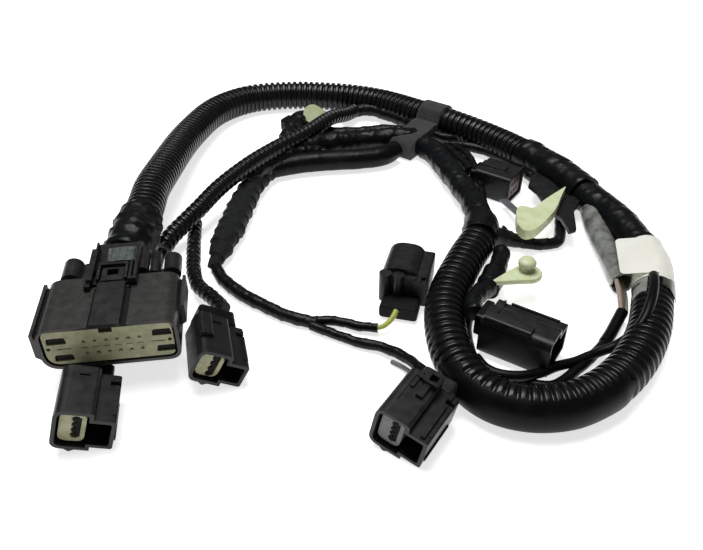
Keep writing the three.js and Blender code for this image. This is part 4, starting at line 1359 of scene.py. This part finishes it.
@dataclass
class TurnedPlug(FourWayPlug):
    """A plug of the other hand, seen from its wire side: a domed front shell and two round towers."""

    def mouth(self) -> tuple[float, float]:
        """The left and right sides of the insert."""
        return self.BAY - self.width / 2 - 1.4, self.width / 2 - self.WALL - self.GAP

    def dome(self, inset: float) -> Outline:
        """The front shell's outline, moved inwards: round over its right top."""
        left = self.BAY - self.width / 2 - 2.9 + inset
        right = self.width / 2 - inset
        top = self.height - inset
        points = [(left, inset), (right, inset), (right, top), (left, top)]
        return rounded(points, [1, 2, 6.2 - inset, 5.6 - inset], steps=9)

    def housing(self) -> bpy.types.Object:
        """The domed shell, the rear body with its towers, and the lower bay beside them."""
        body = Moulding(f"{self.name}_housing", self.seat())
        left = -self.width / 2
        back = self.length
        shell = self.shell or back / 2
        deep = self.CAVITY - 3
        bay_top = self.height - self.BAY_DROP
        body.prism(self.dome(0), 0, shell)
        rear = rounded([(left + 3.4, 1), (7.4, 1), (7.4, 12), (left + 3.4, 12)], [1, 2, 2, 1])
        body.prism(rear, shell - 0.6, back - 0.6)
        turns = [2 * math.pi * step / 24 for step in range(24)]
        for x, radius in ((6.1, 2.1), (1.6, 1.9)):
            column = [(x + radius * math.cos(a), back - 0.7 + radius * math.sin(a)) for a in turns]
            body.slab(column, 2, self.height - 1.2)
        body.prism(oblong(left, self.BAY_LOW, left + 4.6, bay_top, 0.9), 0, back)
        body.block((left + 3.4, 1, 1.4), (left + 6.6, back - 2.4, bay_top - 0.6))
        body.block((left + 0.8, back - 2.6, bay_top - 1), (left + 2.4, back + PAST, bay_top + PAST),
                   hole=True)
        body.prism(self.dome(self.WALL), -PAST, deep, hole=True)
        body.prism(oblong(left + 0.9, 2.4, left + 2.9, bay_top - 0.9, 0.3), -PAST, deep, hole=True)
        return seat_piece(body.build(bevel=0.35, segments=3), PLUG_NYLON, f"{self.name}_housing")

    def insert(self) -> bpy.types.Object:
        """The insert, set back in the domed shell."""
        left, right = self.mouth()
        body = Moulding(f"{self.name}_insert", self.seat())
        body.prism(oblong(left, 1.8, right, self.height - 3.4, 2), self.RECESS, self.CAVITY - 3.3)
        for z in self.ways():
            body.post(right - self.COLUMN, z - 0.6, 0.9, self.RECESS - PAST, self.RECESS + 1.6,
                      sides=16, hole=True)
        return seat_piece(body.build(bevel=0.18), self.insert_finish, f"{self.name}_insert")


PLUGS = [
    FourWayPlug("plug_a", (-77.3, 162.03), 9.1, 18, (12, 7.6, 0, 9), CREAM_PBT, height=14.5, roll=18.1,
                face=(-75.5, 134.7, 9.05), plain=True),
    FourWayPlug("plug_b", (-41.62, 184.77), 13.2, 18, (12, 9, 1, 7), CREAM_PBT, height=12, roll=29.2,
                face=(-41.8, 158.2, 9.5), plain=True, rib=True),
    TurnedPlug("plug_c", (15.38, 188.95), 166, 18, (13, 4.8, 0, 7), GRAY_PBT, shell=15.5,
               cap_finish=CAVITY_BLACK),
    FourWayPlug("plug_d", (23.55, 152.04), -32.4, 19, (11, 10, 2, 5), GRAY_PBT, height=14.5,
                cap_finish=LATCH_NYLON, roll=10.8, face=(10.7, 134.6, 8.03), hoop=True),
    FourWayPlug("plug_e", (41.18, 180.81), 57, 23, (10, 8, 4.4, 2.6), GRAY_PBT, width=15.4, height=14.2,
                plain=True, rib=True),
]


@dataclass
class MainPlug:
    """The sixteen-way plug: a wide mouth with a cream insert, a latch in its frame, and wire towers.

    Attributes:
        rear: Its rear end in table millimetres.
        turn: Its turn about Z in degrees.
        width: Its width without the flanges.
        height: Its height.
        length: The housing's length.
    """

    rear: tuple[float, float, float] = (-76.05, 200.6, 9)
    turn: float = 8
    width: float = 40
    height: float = 15
    length: float = 24

    WALL = 1.1
    LID = 0.8
    CAVITY = 9.0
    RECESS = 0.3
    INSET = 1.7
    SEAL = 2.4
    COVER = 15.0
    COLUMNS = 6
    COLUMN_PITCH = 3.15
    ROW = 2.2

    def seat(self) -> Matrix:
        """The plug's matrix."""
        return plug_seat(self.rear, self.turn, self.cover_start() + self.COVER)

    def cover_start(self) -> float:
        """Where the rear cover begins."""
        return self.length + 2 * CLEARANCE + self.SEAL

    def outline(self, inset: float, lid: Optional[float] = None) -> Outline:
        """The housing's outline, moved inwards.

        Args:
            inset: How far the sides and the floor move in.
            lid: How far the top moves down, where that differs.

        Returns:
            The outline's points.
        """
        side = self.width / 2 - inset
        top = self.height - (inset if lid is None else lid)
        points = [(-side, inset), (side, inset), (side, top), (-side, top)]
        return rounded(points, [6 - inset, 4 - inset, 4.6 - inset * 1.6, 4.6 - inset * 1.6], steps=8)

    def housing(self) -> bpy.types.Object:
        """The housing with its side flanges, grooves and latch seat."""
        body = Moulding("main_housing", self.seat())
        body.prism(self.outline(0), 0, self.length)
        side = self.width / 2
        top = self.height
        left_flange = [
            (-side + 0.5, 4), (-side + 0.5, top - 3.6), (-side - 0.3, top - 2.6),
            (-side - 0.3, top - 1.3), (-side - 1.3, top - 1.3), (-side - 1.3, 5.5),
        ]
        right_flange = [
            (side - 0.5, 5), (side + 1.6, 6.5), (side + 1.6, top - 1.8), (side + 0.6, top - 1.8),
            (side + 0.6, top - 3), (side - 0.5, top - 4),
        ]
        body.prism(left_flange, 0, self.length)
        body.prism(right_flange, 9, self.length)
        body.prism(self.outline(self.WALL, self.LID), -PAST, self.CAVITY, hole=True)
        body.block((4.3, -PAST, top - 0.7), (5.9, 18, top + PAST), hole=True)
        body.block((-5.1, -PAST, top - 0.6), (-4.3, 18, top + PAST), hole=True)
        return seat_piece(body.build(bevel=0.35, segments=3), MAIN_NYLON, "main_housing")

    def blades(self) -> Outline:
        """The middles of the four wide cavities."""
        middle = self.height / 2
        return [(-14.6, middle + 3), (15.2, middle + 3.2), (-13.4, middle - 3.4), (15.8, middle - 3)]

    def insert(self) -> bpy.types.Object:
        """The cream insert with twelve small marks, four wide cavities, slits and a notch."""
        body = Moulding("main_insert", self.seat())
        front = self.RECESS
        start = front - PAST
        middle = self.height / 2
        body.prism(self.outline(self.INSET, self.LID + 0.15), front, self.CAVITY - CLEARANCE)
        for row in (-1, 1):
            for column in range(self.COLUMNS):
                x = -7 + column * self.COLUMN_PITCH + (0.3 if row < 0 else 0)
                z = middle + row * self.ROW
                mark = [(x - 0.65, z - 0.4), (x + 0.65, z - 0.4), (x + 0.3, z + 0.4), (x - 0.3, z + 0.4)]
                body.prism(mark, start, front + 0.55, hole=True)
        for x, z in self.blades():
            wide = [(x - 2.9, z - 1.2), (x + 2.9, z - 1.2), (x + 2.5, z + 1.2), (x - 2.5, z + 1.2)]
            body.prism(rounded(wide, [0.6] * 4), start, front + 4, hole=True)
        for column in range(self.COLUMNS):
            x = -8 + column * self.COLUMN_PITCH
            body.block((x, start, middle - 0.2), (x + 1.9, front + 0.25, middle + 0.1), hole=True)
        for side in (-1, 1):
            x = side * 13.4 + 0.6
            body.block((x - 2, start, middle - 0.2), (x + 2, front + 0.35, middle + 0.15), hole=True)
            body.post(side * 17.2, middle + 0.2, 0.6, start, front + 2, sides=12, hole=True)
        body.block((-2.2, start, self.height - 2.6), (1.6, front + 3, self.height), hole=True)
        return seat_piece(body.build(bevel=0.15), CREAM_PBT, "main_insert")

    def cavities(self) -> bpy.types.Object:
        """Nearly black blocks in the wide cavities, the notch and the two top grooves: painted shade
        that keeps them dark.
        """
        body = Moulding("main_cavity_shade", self.seat())
        front = self.RECESS
        # Black blocks deep in the wide cavities and the notch: painted shade
        for x, z in self.blades():
            body.block((x - 2.3, front + 0.45, z - 1), (x + 2.3, front + 3.5, z + 1.1))
        body.block((-2, front + 0.5, self.height - 2.4), (1.4, front + 2.6, self.height - 1.1))
        # Thin black strips along the floors of the housing's two top grooves: painted shade
        for left, right in ((4.34, 5.86), (-5.06, -4.34)):
            body.block((left, 0.2, self.height - 0.68), (right, 17.9, self.height - 0.45))
        return seat_piece(body.build(bevel=0.0), CAVITY_BLACK)

    def contacts(self) -> bpy.types.Object:
        """The two rows of small contacts seen in the insert's cavities."""
        rows = []
        for row in (-1, 1):
            start = link(bpy.data.objects.new("contacts", bpy.data.meshes.new("contacts")))
            made = run_tree(start, bpy.data.node_groups["row of contacts"], TIN, {
                "Count": self.COLUMNS, "Pitch": self.COLUMN_PITCH, "Width": 0.5, "Depth": 0.8,
                "Height": 0.3,
            })
            place = (-6.85 - row * 0.15, self.RECESS + 0.7, self.height / 2 + row * self.ROW - 0.1)
            made.data.transform(self.seat() @ Matrix.Translation(place))
            rows.append(made)
        bm = bmesh.new()
        for made in rows:
            bm.from_mesh(made.data)
            bpy.data.objects.remove(made)
        piece = mesh_piece("main_contacts", bm)
        piece.data.materials.append(TIN.material())
        return seat_piece(piece, TIN)

    def latch(self) -> bpy.types.Object:
        """The latch strip, its tongue, and the frame round it."""
        low = self.height + CLEARANCE
        body = Moulding("main_latch", self.seat())
        body.block((-4.2, -0.7, low - 0.2), (4.2, 20, low + 1))
        body.block((-3.3, 19.5, low), (3.3, 26, low + 1.5))
        for left, right in ((-4.6, -3.7), (3.7, 4.6)):
            body.block((left, 19.4, low), (right, 27.4, low + 2.3))
        body.block((-4.6, 26.5, low), (4.6, 27.4, low + 2.5))
        body.block((6.5, 18.6, low), (7.5, 38, low + 2.6))
        body.prism([(5, low), (7.5, low), (7.5, low + 2.4), (5, low + 2.4)], 18.4, 19.6)
        body.block((5, 18.6, low), (5.8, 28.4, low + 2.2))
        body.block((-7.4, 18.6, low), (-5.6, 35, low + 2.8))
        body.block((-6.2, 34.6, low), (-5.6, 38.4, low + 3))
        body.block((-8, 16.8, low - 0.2), (-6.2, 19.4, low + 1.6))
        body.block((-7.5, 19, low), (7.5, 22, low + 0.6))
        body.block((-1.7, 22.2, low - 0.5), (1.6, 25.2, low + 3), hole=True)
        return seat_piece(body.build(bevel=0.25), LATCH_NYLON, "main_latch")

    def rear_seal(self) -> bpy.types.Object:
        """The seal between housing and rear cover."""
        start = self.length + CLEARANCE
        body = Moulding("main_rear_seal", self.seat())
        body.prism(oblong(-17.5, 1, 17.5, 11.5, 2), start, start + self.SEAL)
        seal = seat_piece(body.build(bevel=0.3), SEAL_RUBBER, "main_rear_seal")
        block = Moulding("main_seal_block", self.seat())
        top = self.height + 1.5
        corners = [(-3, 10), (6.2, 10), (6.2, top), (2.6, top + 0.4), (-3, top)]
        block.prism(rounded(corners, [0, 0, 1, 1, 1]), 29.5, 37)
        for x in (-1.8, 0.6, 3, 5.2):
            block.post(x, top, 0.55, 29.2, 36.4, sides=12)
        seat_piece(block.build(bevel=0.2), SEAL_RUBBER)
        return seal

    def rear_cover(self) -> bpy.types.Object:
        """The rear cover with its wire towers."""
        start = self.cover_start()
        end = start + self.COVER
        body = Moulding("main_rear_cover", self.seat())
        body.block((-17, start, 1), (17, start + 4, 11))
        body.block((-7.5, start, 1), (7.5, end, self.height))
        towers = (
            (-14.3, 11.4, 3.2, 9), (17.1, 11.6, 2.8, 8.5), (7.9, 13.2, 2.1, 12), (11.7, 12, 1.7, 11),
            (-9.9, 11, 1.7, 8), (-10.5, 4.6, 3.2, 8), (10.5, 4.6, 3.2, 8), (13.8, 8, 1.8, 6),
        )
        for x, z, radius, length in towers:
            body.post(x, z, radius, start, start + length)
        return seat_piece(body.build(bevel=0.3), LATCH_NYLON, "main_rear_cover")

    def build(self) -> None:
        """Makes the plug's pieces."""
        self.housing()
        self.insert()
        # The black blocks in the cavities and grooves are painted shade
        self.cavities()
        self.contacts()
        self.latch()
        self.rear_seal()
        self.rear_cover()


@dataclass
class FarPlug:
    """The far plug: a plain shell with a dark red insert set back in its mouth.

    Attributes:
        rear: Its rear end in table millimetres.
        turn: Its turn about Z in degrees.
        width: Its width.
        height: Its height.
        length: The shell's length.
    """

    rear: tuple[float, float, float] = (52.69, 279.57, 0)
    turn: float = 55
    width: float = 14
    height: float = 12
    length: float = 16

    WALL = 1.2
    CAVITY = 7.0
    CAP = 3

    def seat(self) -> Matrix:
        """The plug's matrix."""
        return plug_seat(self.rear, self.turn, self.length + CLEARANCE + self.CAP)

    def outline(self, inset: float) -> Outline:
        """The shell's outline, moved inwards."""
        half = self.width / 2 - inset
        return oblong(-half, inset, half, self.height - inset, 1.6)

    def build(self) -> None:
        """Makes the shell, the insert and the rear cap."""
        shell = Moulding("plug_f_housing", self.seat())
        shell.prism(self.outline(0), 0, self.length)
        shell.block((-2, 5, self.height - SINK), (2, self.length, self.height + 0.8))
        shell.prism(self.outline(self.WALL), -PAST, self.CAVITY, hole=True)
        seat_piece(shell.build(), PLUG_NYLON, "plug_f_housing")
        insert = Moulding("plug_f_insert", self.seat())
        insert.prism(self.outline(self.WALL + 0.4), 0.7, self.CAVITY - CLEARANCE)
        for x in (-2.4, 0, 2.4):
            for z in (4.2, 7.8):
                insert.block((x - 0.6, 0, z - 0.6), (x + 0.6, 3, z + 0.6), hole=True)
        seat_piece(insert.build(bevel=0.15), RED_PBT, "plug_f_insert")
        cap = Moulding("plug_f_rear_cap", self.seat())
        cap.prism(self.outline(2), self.length - PAST, self.length + CLEARANCE + self.CAP)
        seat_piece(cap.build(bevel=0.5, segments=3), FINE_TAPE, "plug_f_rear_cap")


@dataclass
class Fixings:
    """The clips, the side plate, the collar, the ribbon and the label's loose edge.

    Attributes:
        plate_low: The side plate's lowest height in millimetres.
        plate_thickness: Its thickness.
        clip_thickness: The thickness of clip 2, which lies on it.
        wire_radius: The radius of each wire in the ribbon.
        wire_pitch: The distance between its wires.
    """

    plate_low: float = 6.4
    plate_thickness: float = 2.0
    clip_thickness: float = 4.0
    wire_radius: float = 0.6
    wire_pitch: float = 1.15

    def oval(self, length: float, width: float, sides: int = 40) -> Outline:
        """An ellipse's points."""
        turn = 2 * math.pi / sides
        return [(length / 2 * math.cos(i * turn), width / 2 * math.sin(i * turn)) for i in range(sides)]

    def teardrop(self, radius: float, tip: float, sides: int = 36) -> Outline:
        """A round head with a point drawn out to one side.

        Args:
            radius: The head's radius.
            tip: How far the point lies from the head's middle: to the right, or to the left if
                negative.
            sides: The full circle's number of points.

        Returns:
            The outline's points.
        """
        opening = math.acos(radius / abs(tip)) * 0.92
        angles = [opening + (2 * math.pi - 2 * opening) * step / sides for step in range(sides + 1)]
        outline = [(radius * math.cos(a), radius * math.sin(a)) for a in angles] + [(abs(tip), 0)]
        return outline if tip > 0 else [(-x, -y) for x, y in outline]

    def seat(self, place: Point, turn: float) -> Matrix:
        """The matrix of a piece that stands at a place on the table."""
        spun = Matrix.Rotation(math.radians(turn), 4, "Z")
        return Matrix.Translation(in_frame(place)) @ spun @ Matrix.Scale(MM, 4)

    def clip_one(self) -> None:
        """The nylon head over its taped base."""
        tilt = Matrix.Rotation(math.radians(55), 4, "X")
        head = Moulding("clip_1", self.seat((-18.6, 329, 10.5), 0) @ tilt)
        head.slab(self.teardrop(4.4, 8.4), -1.1, 1.1)
        head.slab(self.oval(5, 4.4), -2.4, 1)
        seat_piece(head.build(bevel=0.7, segments=4), NYLON, "clip_1")
        base = Moulding("clip_1_base", self.seat((-28.9, 332.6, 0.2), -35 - 90))
        base.prism(oblong(-3.6, 0, 3.6, 6.2, 1.5), -4.6, 4.6)
        seat_piece(base.build(bevel=0.6, segments=3), TAPE_PVC, "clip_1_base")

    def clip_two(self) -> None:
        """The side plate with the nylon clip on it."""
        flat = Matrix.Translation(in_frame((0, 0, 0))) @ Matrix.Scale(MM, 4)
        plate = Moulding("side_plate", flat)
        top = self.plate_low + self.plate_thickness
        plate.slab(SIDE_PLATE_OUTLINE, self.plate_low, top)
        seat_piece(plate.build(bevel=0.4), PLUG_NYLON, "side_plate")
        clip = Moulding("clip_2", flat)
        outline = rounded(CLIP_2_OUTLINE, [1, 5, 5, 6, 5, 5, 5, 6, 3, 2, 5], steps=6)
        clip.slab(outline, top + CLEARANCE, top + CLEARANCE + self.clip_thickness)
        seat_piece(clip.build(bevel=1.7, segments=6), NYLON, "clip_2")

    def clip_three(self) -> None:
        """The long oval pad with its push stud lying over."""
        seat = self.seat((56.2, 201.6, 8.6), 22)
        pad = Moulding("clip_3", seat)
        pad.slab([(x + 4.8, y) for x, y in self.teardrop(4.9, -15.6)], -0.4, 1.7)
        piece = pad.build(bevel=0.7, segments=4)
        profile = [
            (0, 0), (2.6, 0), (2.3, 0.6), (2.3, 1.8), (3.1, 2.6), (3.1, 3.4), (2.6, 4.1), (1.6, 4.5),
            (0, 4.6),
        ]
        bm = bmesh.new()
        bm.from_mesh(piece.data)
        verts = [bm.verts.new((x, 0, z)) for x, z in profile]
        edges = [bm.edges.new(pair) for pair in zip(verts, verts[1:])]
        bmesh.ops.spin(bm, geom=verts + edges, cent=(0, 0, 0), axis=(0, 0, 1), angle=2 * math.pi,
                       steps=32, use_merge=True)
        fresh = {v for v in bm.verts if v.index < 0 or v.index >= len(piece.data.vertices)}
        bmesh.ops.transform(bm, matrix=seat @ Matrix.Translation((4.8, 1.2, 1.5)), verts=list(fresh))
        bmesh.ops.remove_doubles(bm, verts=list(fresh), dist=1e-6)
        bmesh.ops.recalc_face_normals(bm, faces=[f for f in bm.faces if fresh.issuperset(f.verts)])
        bm.to_mesh(piece.data)
        bm.free()
        piece.data.shade_smooth()
        piece.data.set_sharp_from_angle(angle=math.radians(Moulding.SHARP_ANGLE))
        seat_piece(piece, NYLON, "clip_3")

    def collar(self) -> None:
        """The cloth tape that goes over the trunk and binds the branches below it."""
        band = Moulding("cloth_strap", self.seat((40.1, 328.7, 0), -36 - 90))
        turns = [math.radians(200 - 150 * step / 18) for step in range(19)]
        over = [(8 * math.cos(a), 8.1 + 8 * math.sin(a)) for a in turns]
        rest = rounded([(9, 10.8), (14, 9.6), (22, 9.9), (29, 8.4), (31, 4), (30.6, 0.5), (-5, 0.5)],
                       [2, 3, 4, 3, 2, 1, 0])
        band.prism(over + rest, -6.4, 5.8)
        piece = band.build(bevel=0.5, segments=3)
        seat_piece(piece, BAND_CLOTH, "far_collar_tape", "cloth_band")

    def ribbon(self) -> None:
        """Three gray wires side by side from the far plug to clip 2."""
        start, end = Vector((62.7, 262.1, 3.2)), Vector((66.6, 241.6, 7.6))
        side = (end - start).cross(Vector((0, 0, 1))).normalized()
        bm = bmesh.new()
        radius = self.wire_radius * MM
        for offset in (-self.wire_pitch, 0, self.wire_pitch):
            ends = [in_frame(p + side * offset) for p in (start, end)]
            along = ends[1] - ends[0]
            made = bmesh.ops.create_cone(bm, cap_ends=True, segments=16, radius1=radius,
                                         radius2=radius, depth=along.length)
            turn = Vector((0, 0, 1)).rotation_difference(along).to_matrix().to_4x4()
            middle = Matrix.Translation((ends[0] + ends[1]) / 2)
            bmesh.ops.transform(bm, matrix=middle @ turn, verts=made["verts"])
        piece = mesh_piece("gray_ribbon_strands", bm)
        piece.data.shade_smooth()
        piece.data.set_sharp_from_angle(angle=math.radians(40))
        seat_piece(piece, GRAY_WIRE, "gray_ribbon")

    def label_flap(self) -> None:
        """The label's loose edge, which reaches from the trunk over the gray sleeve."""
        lie = self.seat((100.9, 198, 13.85), -11) @ Matrix.Rotation(math.radians(-12), 4, "Y")
        flap = Moulding("label_flap", lie)
        flap.slab(rounded([(-10.3, 0), (2, 0), (2, 21.4), (-10.3, 21.4)], [2, 0, 0, 2]), -0.15, 0.15)
        seat_piece(flap.build(bevel=0.1), LABEL)

    def build(self) -> None:
        """Makes all the fixings."""
        self.label_flap()
        self.clip_one()
        self.clip_two()
        self.clip_three()
        self.collar()
        self.ribbon()


@dataclass
class Wrap:
    """A sheet wrapped round a tube: a label, a sleeve, or a smooth dark sheet over ribs.

    Attributes:
        name: The piece's name, and the route's.
        radius: Its inner radius in millimetres.
        wall: Its thickness.
        finish: Its finish.
        ragged: How unevenly its ends are cut, in millimetres.
        arc: Where it starts and ends in degrees, from the right of its route, if it is open.
        zigzag: How far its starting edge goes up and down, in degrees.
        packed: Whether a CAD node of its name is there, which it stands for.
    """

    name: str
    radius: float
    wall: float
    finish: Finish
    ragged: float = 0.0
    arc: Optional[tuple[float, float]] = None
    zigzag: float = 0.0
    packed: bool = True

    SIDES = 56
    TOOTH = 1.525
    SPACING = 0.4

    def angle(self, step: int, along: float) -> float:
        """Where a point lies round the tube.

        Args:
            step: The point's number in its ring.
            along: How far along the route the ring is, in millimetres.

        Returns:
            The angle in radians.
        """
        if self.arc is None:
            return 2 * math.pi * step / self.SIDES
        tooth = abs((along / self.TOOTH) % 2 - 1) - 0.5
        start = self.arc[0] + 2 * self.zigzag * tooth
        return math.radians(start + (self.arc[1] - start) * step / self.SIDES)

    def build(self) -> bpy.types.Object:
        """Makes the wrapped sheet with its thickness."""
        path = smooth_route(ROUTES[self.name], self.SPACING)
        bm = bmesh.new()
        rings = []
        last = len(path) - 1
        for index, sample in enumerate(path):
            here = sample.xyz
            ahead = (path[min(index + 1, last)] - path[max(index - 1, 0)]).xyz.normalized()
            side = ahead.cross(Vector((0, 0, 1))).normalized()
            up = side.cross(ahead)
            ring = []
            for step in range(self.SIDES + (self.arc is not None)):
                angle = self.angle(step, index * self.SPACING)
                edge = math.sin(3 * angle) + math.sin(5 * angle + 1)
                shift = self.ragged * edge * (1 if index == last else -1) if index in (0, last) else 0
                out = side * math.cos(angle) + up * math.sin(angle)
                ring.append(bm.verts.new(in_frame(here + out * self.radius + ahead * shift)))
            rings.append(ring)
        for ring, after in zip(rings, rings[1:]):
            for step in range(self.SIDES):
                turn = (step + 1) % len(ring)
                bm.faces.new((ring[step], ring[turn], after[turn], after[step]))
        bmesh.ops.recalc_face_normals(bm, faces=bm.faces)
        piece = mesh_piece(f"{self.name}_wrap", bm)
        thick = piece.modifiers.new("wall", "SOLIDIFY")
        thick.thickness = self.wall * MM
        thick.offset = 1
        piece = apply_modifiers(piece)
        piece.data.shade_smooth()
        piece.data.set_sharp_from_angle(angle=math.radians(50))
        seat_piece(piece, self.finish, *([self.name] if self.packed else []))
        return piece


WRAPS = [
    Wrap("id_sleeve", 3.7, 0.5, CLEAR_SLEEVE, ragged=0.5),
    Wrap("white_label", 6.7, 0.3, LABEL),
    # A smooth sheet, darker and duller than the conduit, over the lower side of the near conduit's ribs
    Wrap("front_cover", 6.75, 0.25, SMOOTH_DARK_SHEET, ragged=1.5, arc=(116, 300), zigzag=6, packed=False),
    Wrap("label_tail", 6.8, 0.25, LABEL_TAIL, ragged=0.6, arc=(102, 176), packed=False),
    Wrap("sleeve_tail", 6.8, 0.3, LABEL_GRAY, ragged=0.8, arc=(12, 62), packed=False),
]


@dataclass
class Studio:
    """The camera, the table and the lights.

    Attributes:
        eye_height: The camera's height over the table in millimetres.
        pitch: How far it looks down, in degrees.
        lens: Its focal length for a 36 mm wide sensor.
        table_half: Half the table's side in metres.
        table_glow: How strongly the table glows.
        world_light: How strongly the white surroundings light the pieces.
        world_seen: How bright the surroundings look to the camera.
        lamp_place: Where the overhead lamp is, in metres.
        lamp_size: Its side in metres.
        lamp_power: Its power in watts.
    """

    eye_height: float = 162
    pitch: float = 37
    lens: float = 37.85
    table_half: float = 12
    table_glow: float = 0.7
    world_light: float = 0.12
    world_seen: float = 0.75
    lamp_place: tuple[float, float, float] = (-0.12, 0.16, 1.0)
    lamp_size: float = 0.6
    lamp_power: float = 10

    SENSOR = 36

    def camera(self) -> None:
        """Makes the camera at the photograph's angle."""
        data = bpy.data.cameras.new("camera")
        data.lens = self.lens
        data.sensor_width = self.SENSOR
        data.sensor_fit = "HORIZONTAL"
        data.clip_start = 0.01
        camera = link(bpy.data.objects.new("camera", data))
        camera.location = in_frame((0, 0, self.eye_height))
        camera.rotation_euler = (math.radians(90 - self.pitch), 0, 0)
        bpy.context.scene.camera = camera

    def floor(self) -> None:
        """Makes the pale table.

        It glows a little, as a product table lit from below does, so that shadows stay pale.
        """
        bm = bmesh.new()
        bmesh.ops.create_grid(bm, x_segments=1, y_segments=1, size=self.table_half)
        floor = mesh_piece("table", bm)
        material = bpy.data.materials.new("white laminate table")
        material.use_nodes = True
        shader = material.node_tree.nodes["Principled BSDF"]
        shader.inputs["Base Color"].default_value = (0.9, 0.9, 0.9, 1)
        shader.inputs["Roughness"].default_value = 0.9
        shader.inputs["Specular IOR Level"].default_value = 0.1
        shader.inputs["Emission Color"].default_value = (1, 1, 1, 1)
        shader.inputs["Emission Strength"].default_value = self.table_glow
        floor.data.materials.append(material)

    def light(self, name: str, place: Point, aim: Point, size: float, power: float) -> None:
        """Makes one soft square light.

        Args:
            name: Its name.
            place: Where it is, in metres.
            aim: Where it points, in metres.
            size: Its side in metres.
            power: Its power in watts.
        """
        data = bpy.data.lights.new(name, "AREA")
        data.size = size
        data.energy = power
        lamp = link(bpy.data.objects.new(name, data))
        lamp.location = place
        lamp.rotation_euler = (Vector(aim) - Vector(place)).to_track_quat("-Z", "Y").to_euler()

    def build(self) -> None:
        """Makes the whole studio."""
        self.camera()
        self.floor()
        world = bpy.data.worlds.new("studio")
        world.use_nodes = True
        background = world.node_tree.nodes["Background"]
        background.inputs["Color"].default_value = (1, 1, 1, 1)
        seen = add(world.node_tree, "ShaderNodeLightPath").outputs["Is Camera Ray"]
        level = add(world.node_tree, "ShaderNodeMapRange", {
            "Value": seen, "To Min": self.world_light, "To Max": self.world_seen,
        })
        world.node_tree.links.new(level.outputs["Result"], background.inputs["Strength"])
        bpy.context.scene.world = world
        self.light("overhead softbox", self.lamp_place, (0, 0, 0), self.lamp_size, self.lamp_power)
        bpy.context.scene.view_settings.view_transform = "Standard"


def main() -> None:
    """Builds the harness piece by piece, and writes how large it is."""
    logging.basicConfig(level=logging.INFO, format="%(message)s")
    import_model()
    Studio().build()
    trees = {Cover.RIBBED: ribbed_tree(), Cover.TAPED: taped_tree()}
    row_tree()
    for tube in TUBES:
        tube.build(trees)
    for wrap in WRAPS:
        wrap.build()
    MainPlug().build()
    for plug in PLUGS:
        plug.build()
    FarPlug().build()
    Fixings().build()


if __name__ == "__main__":
    main()
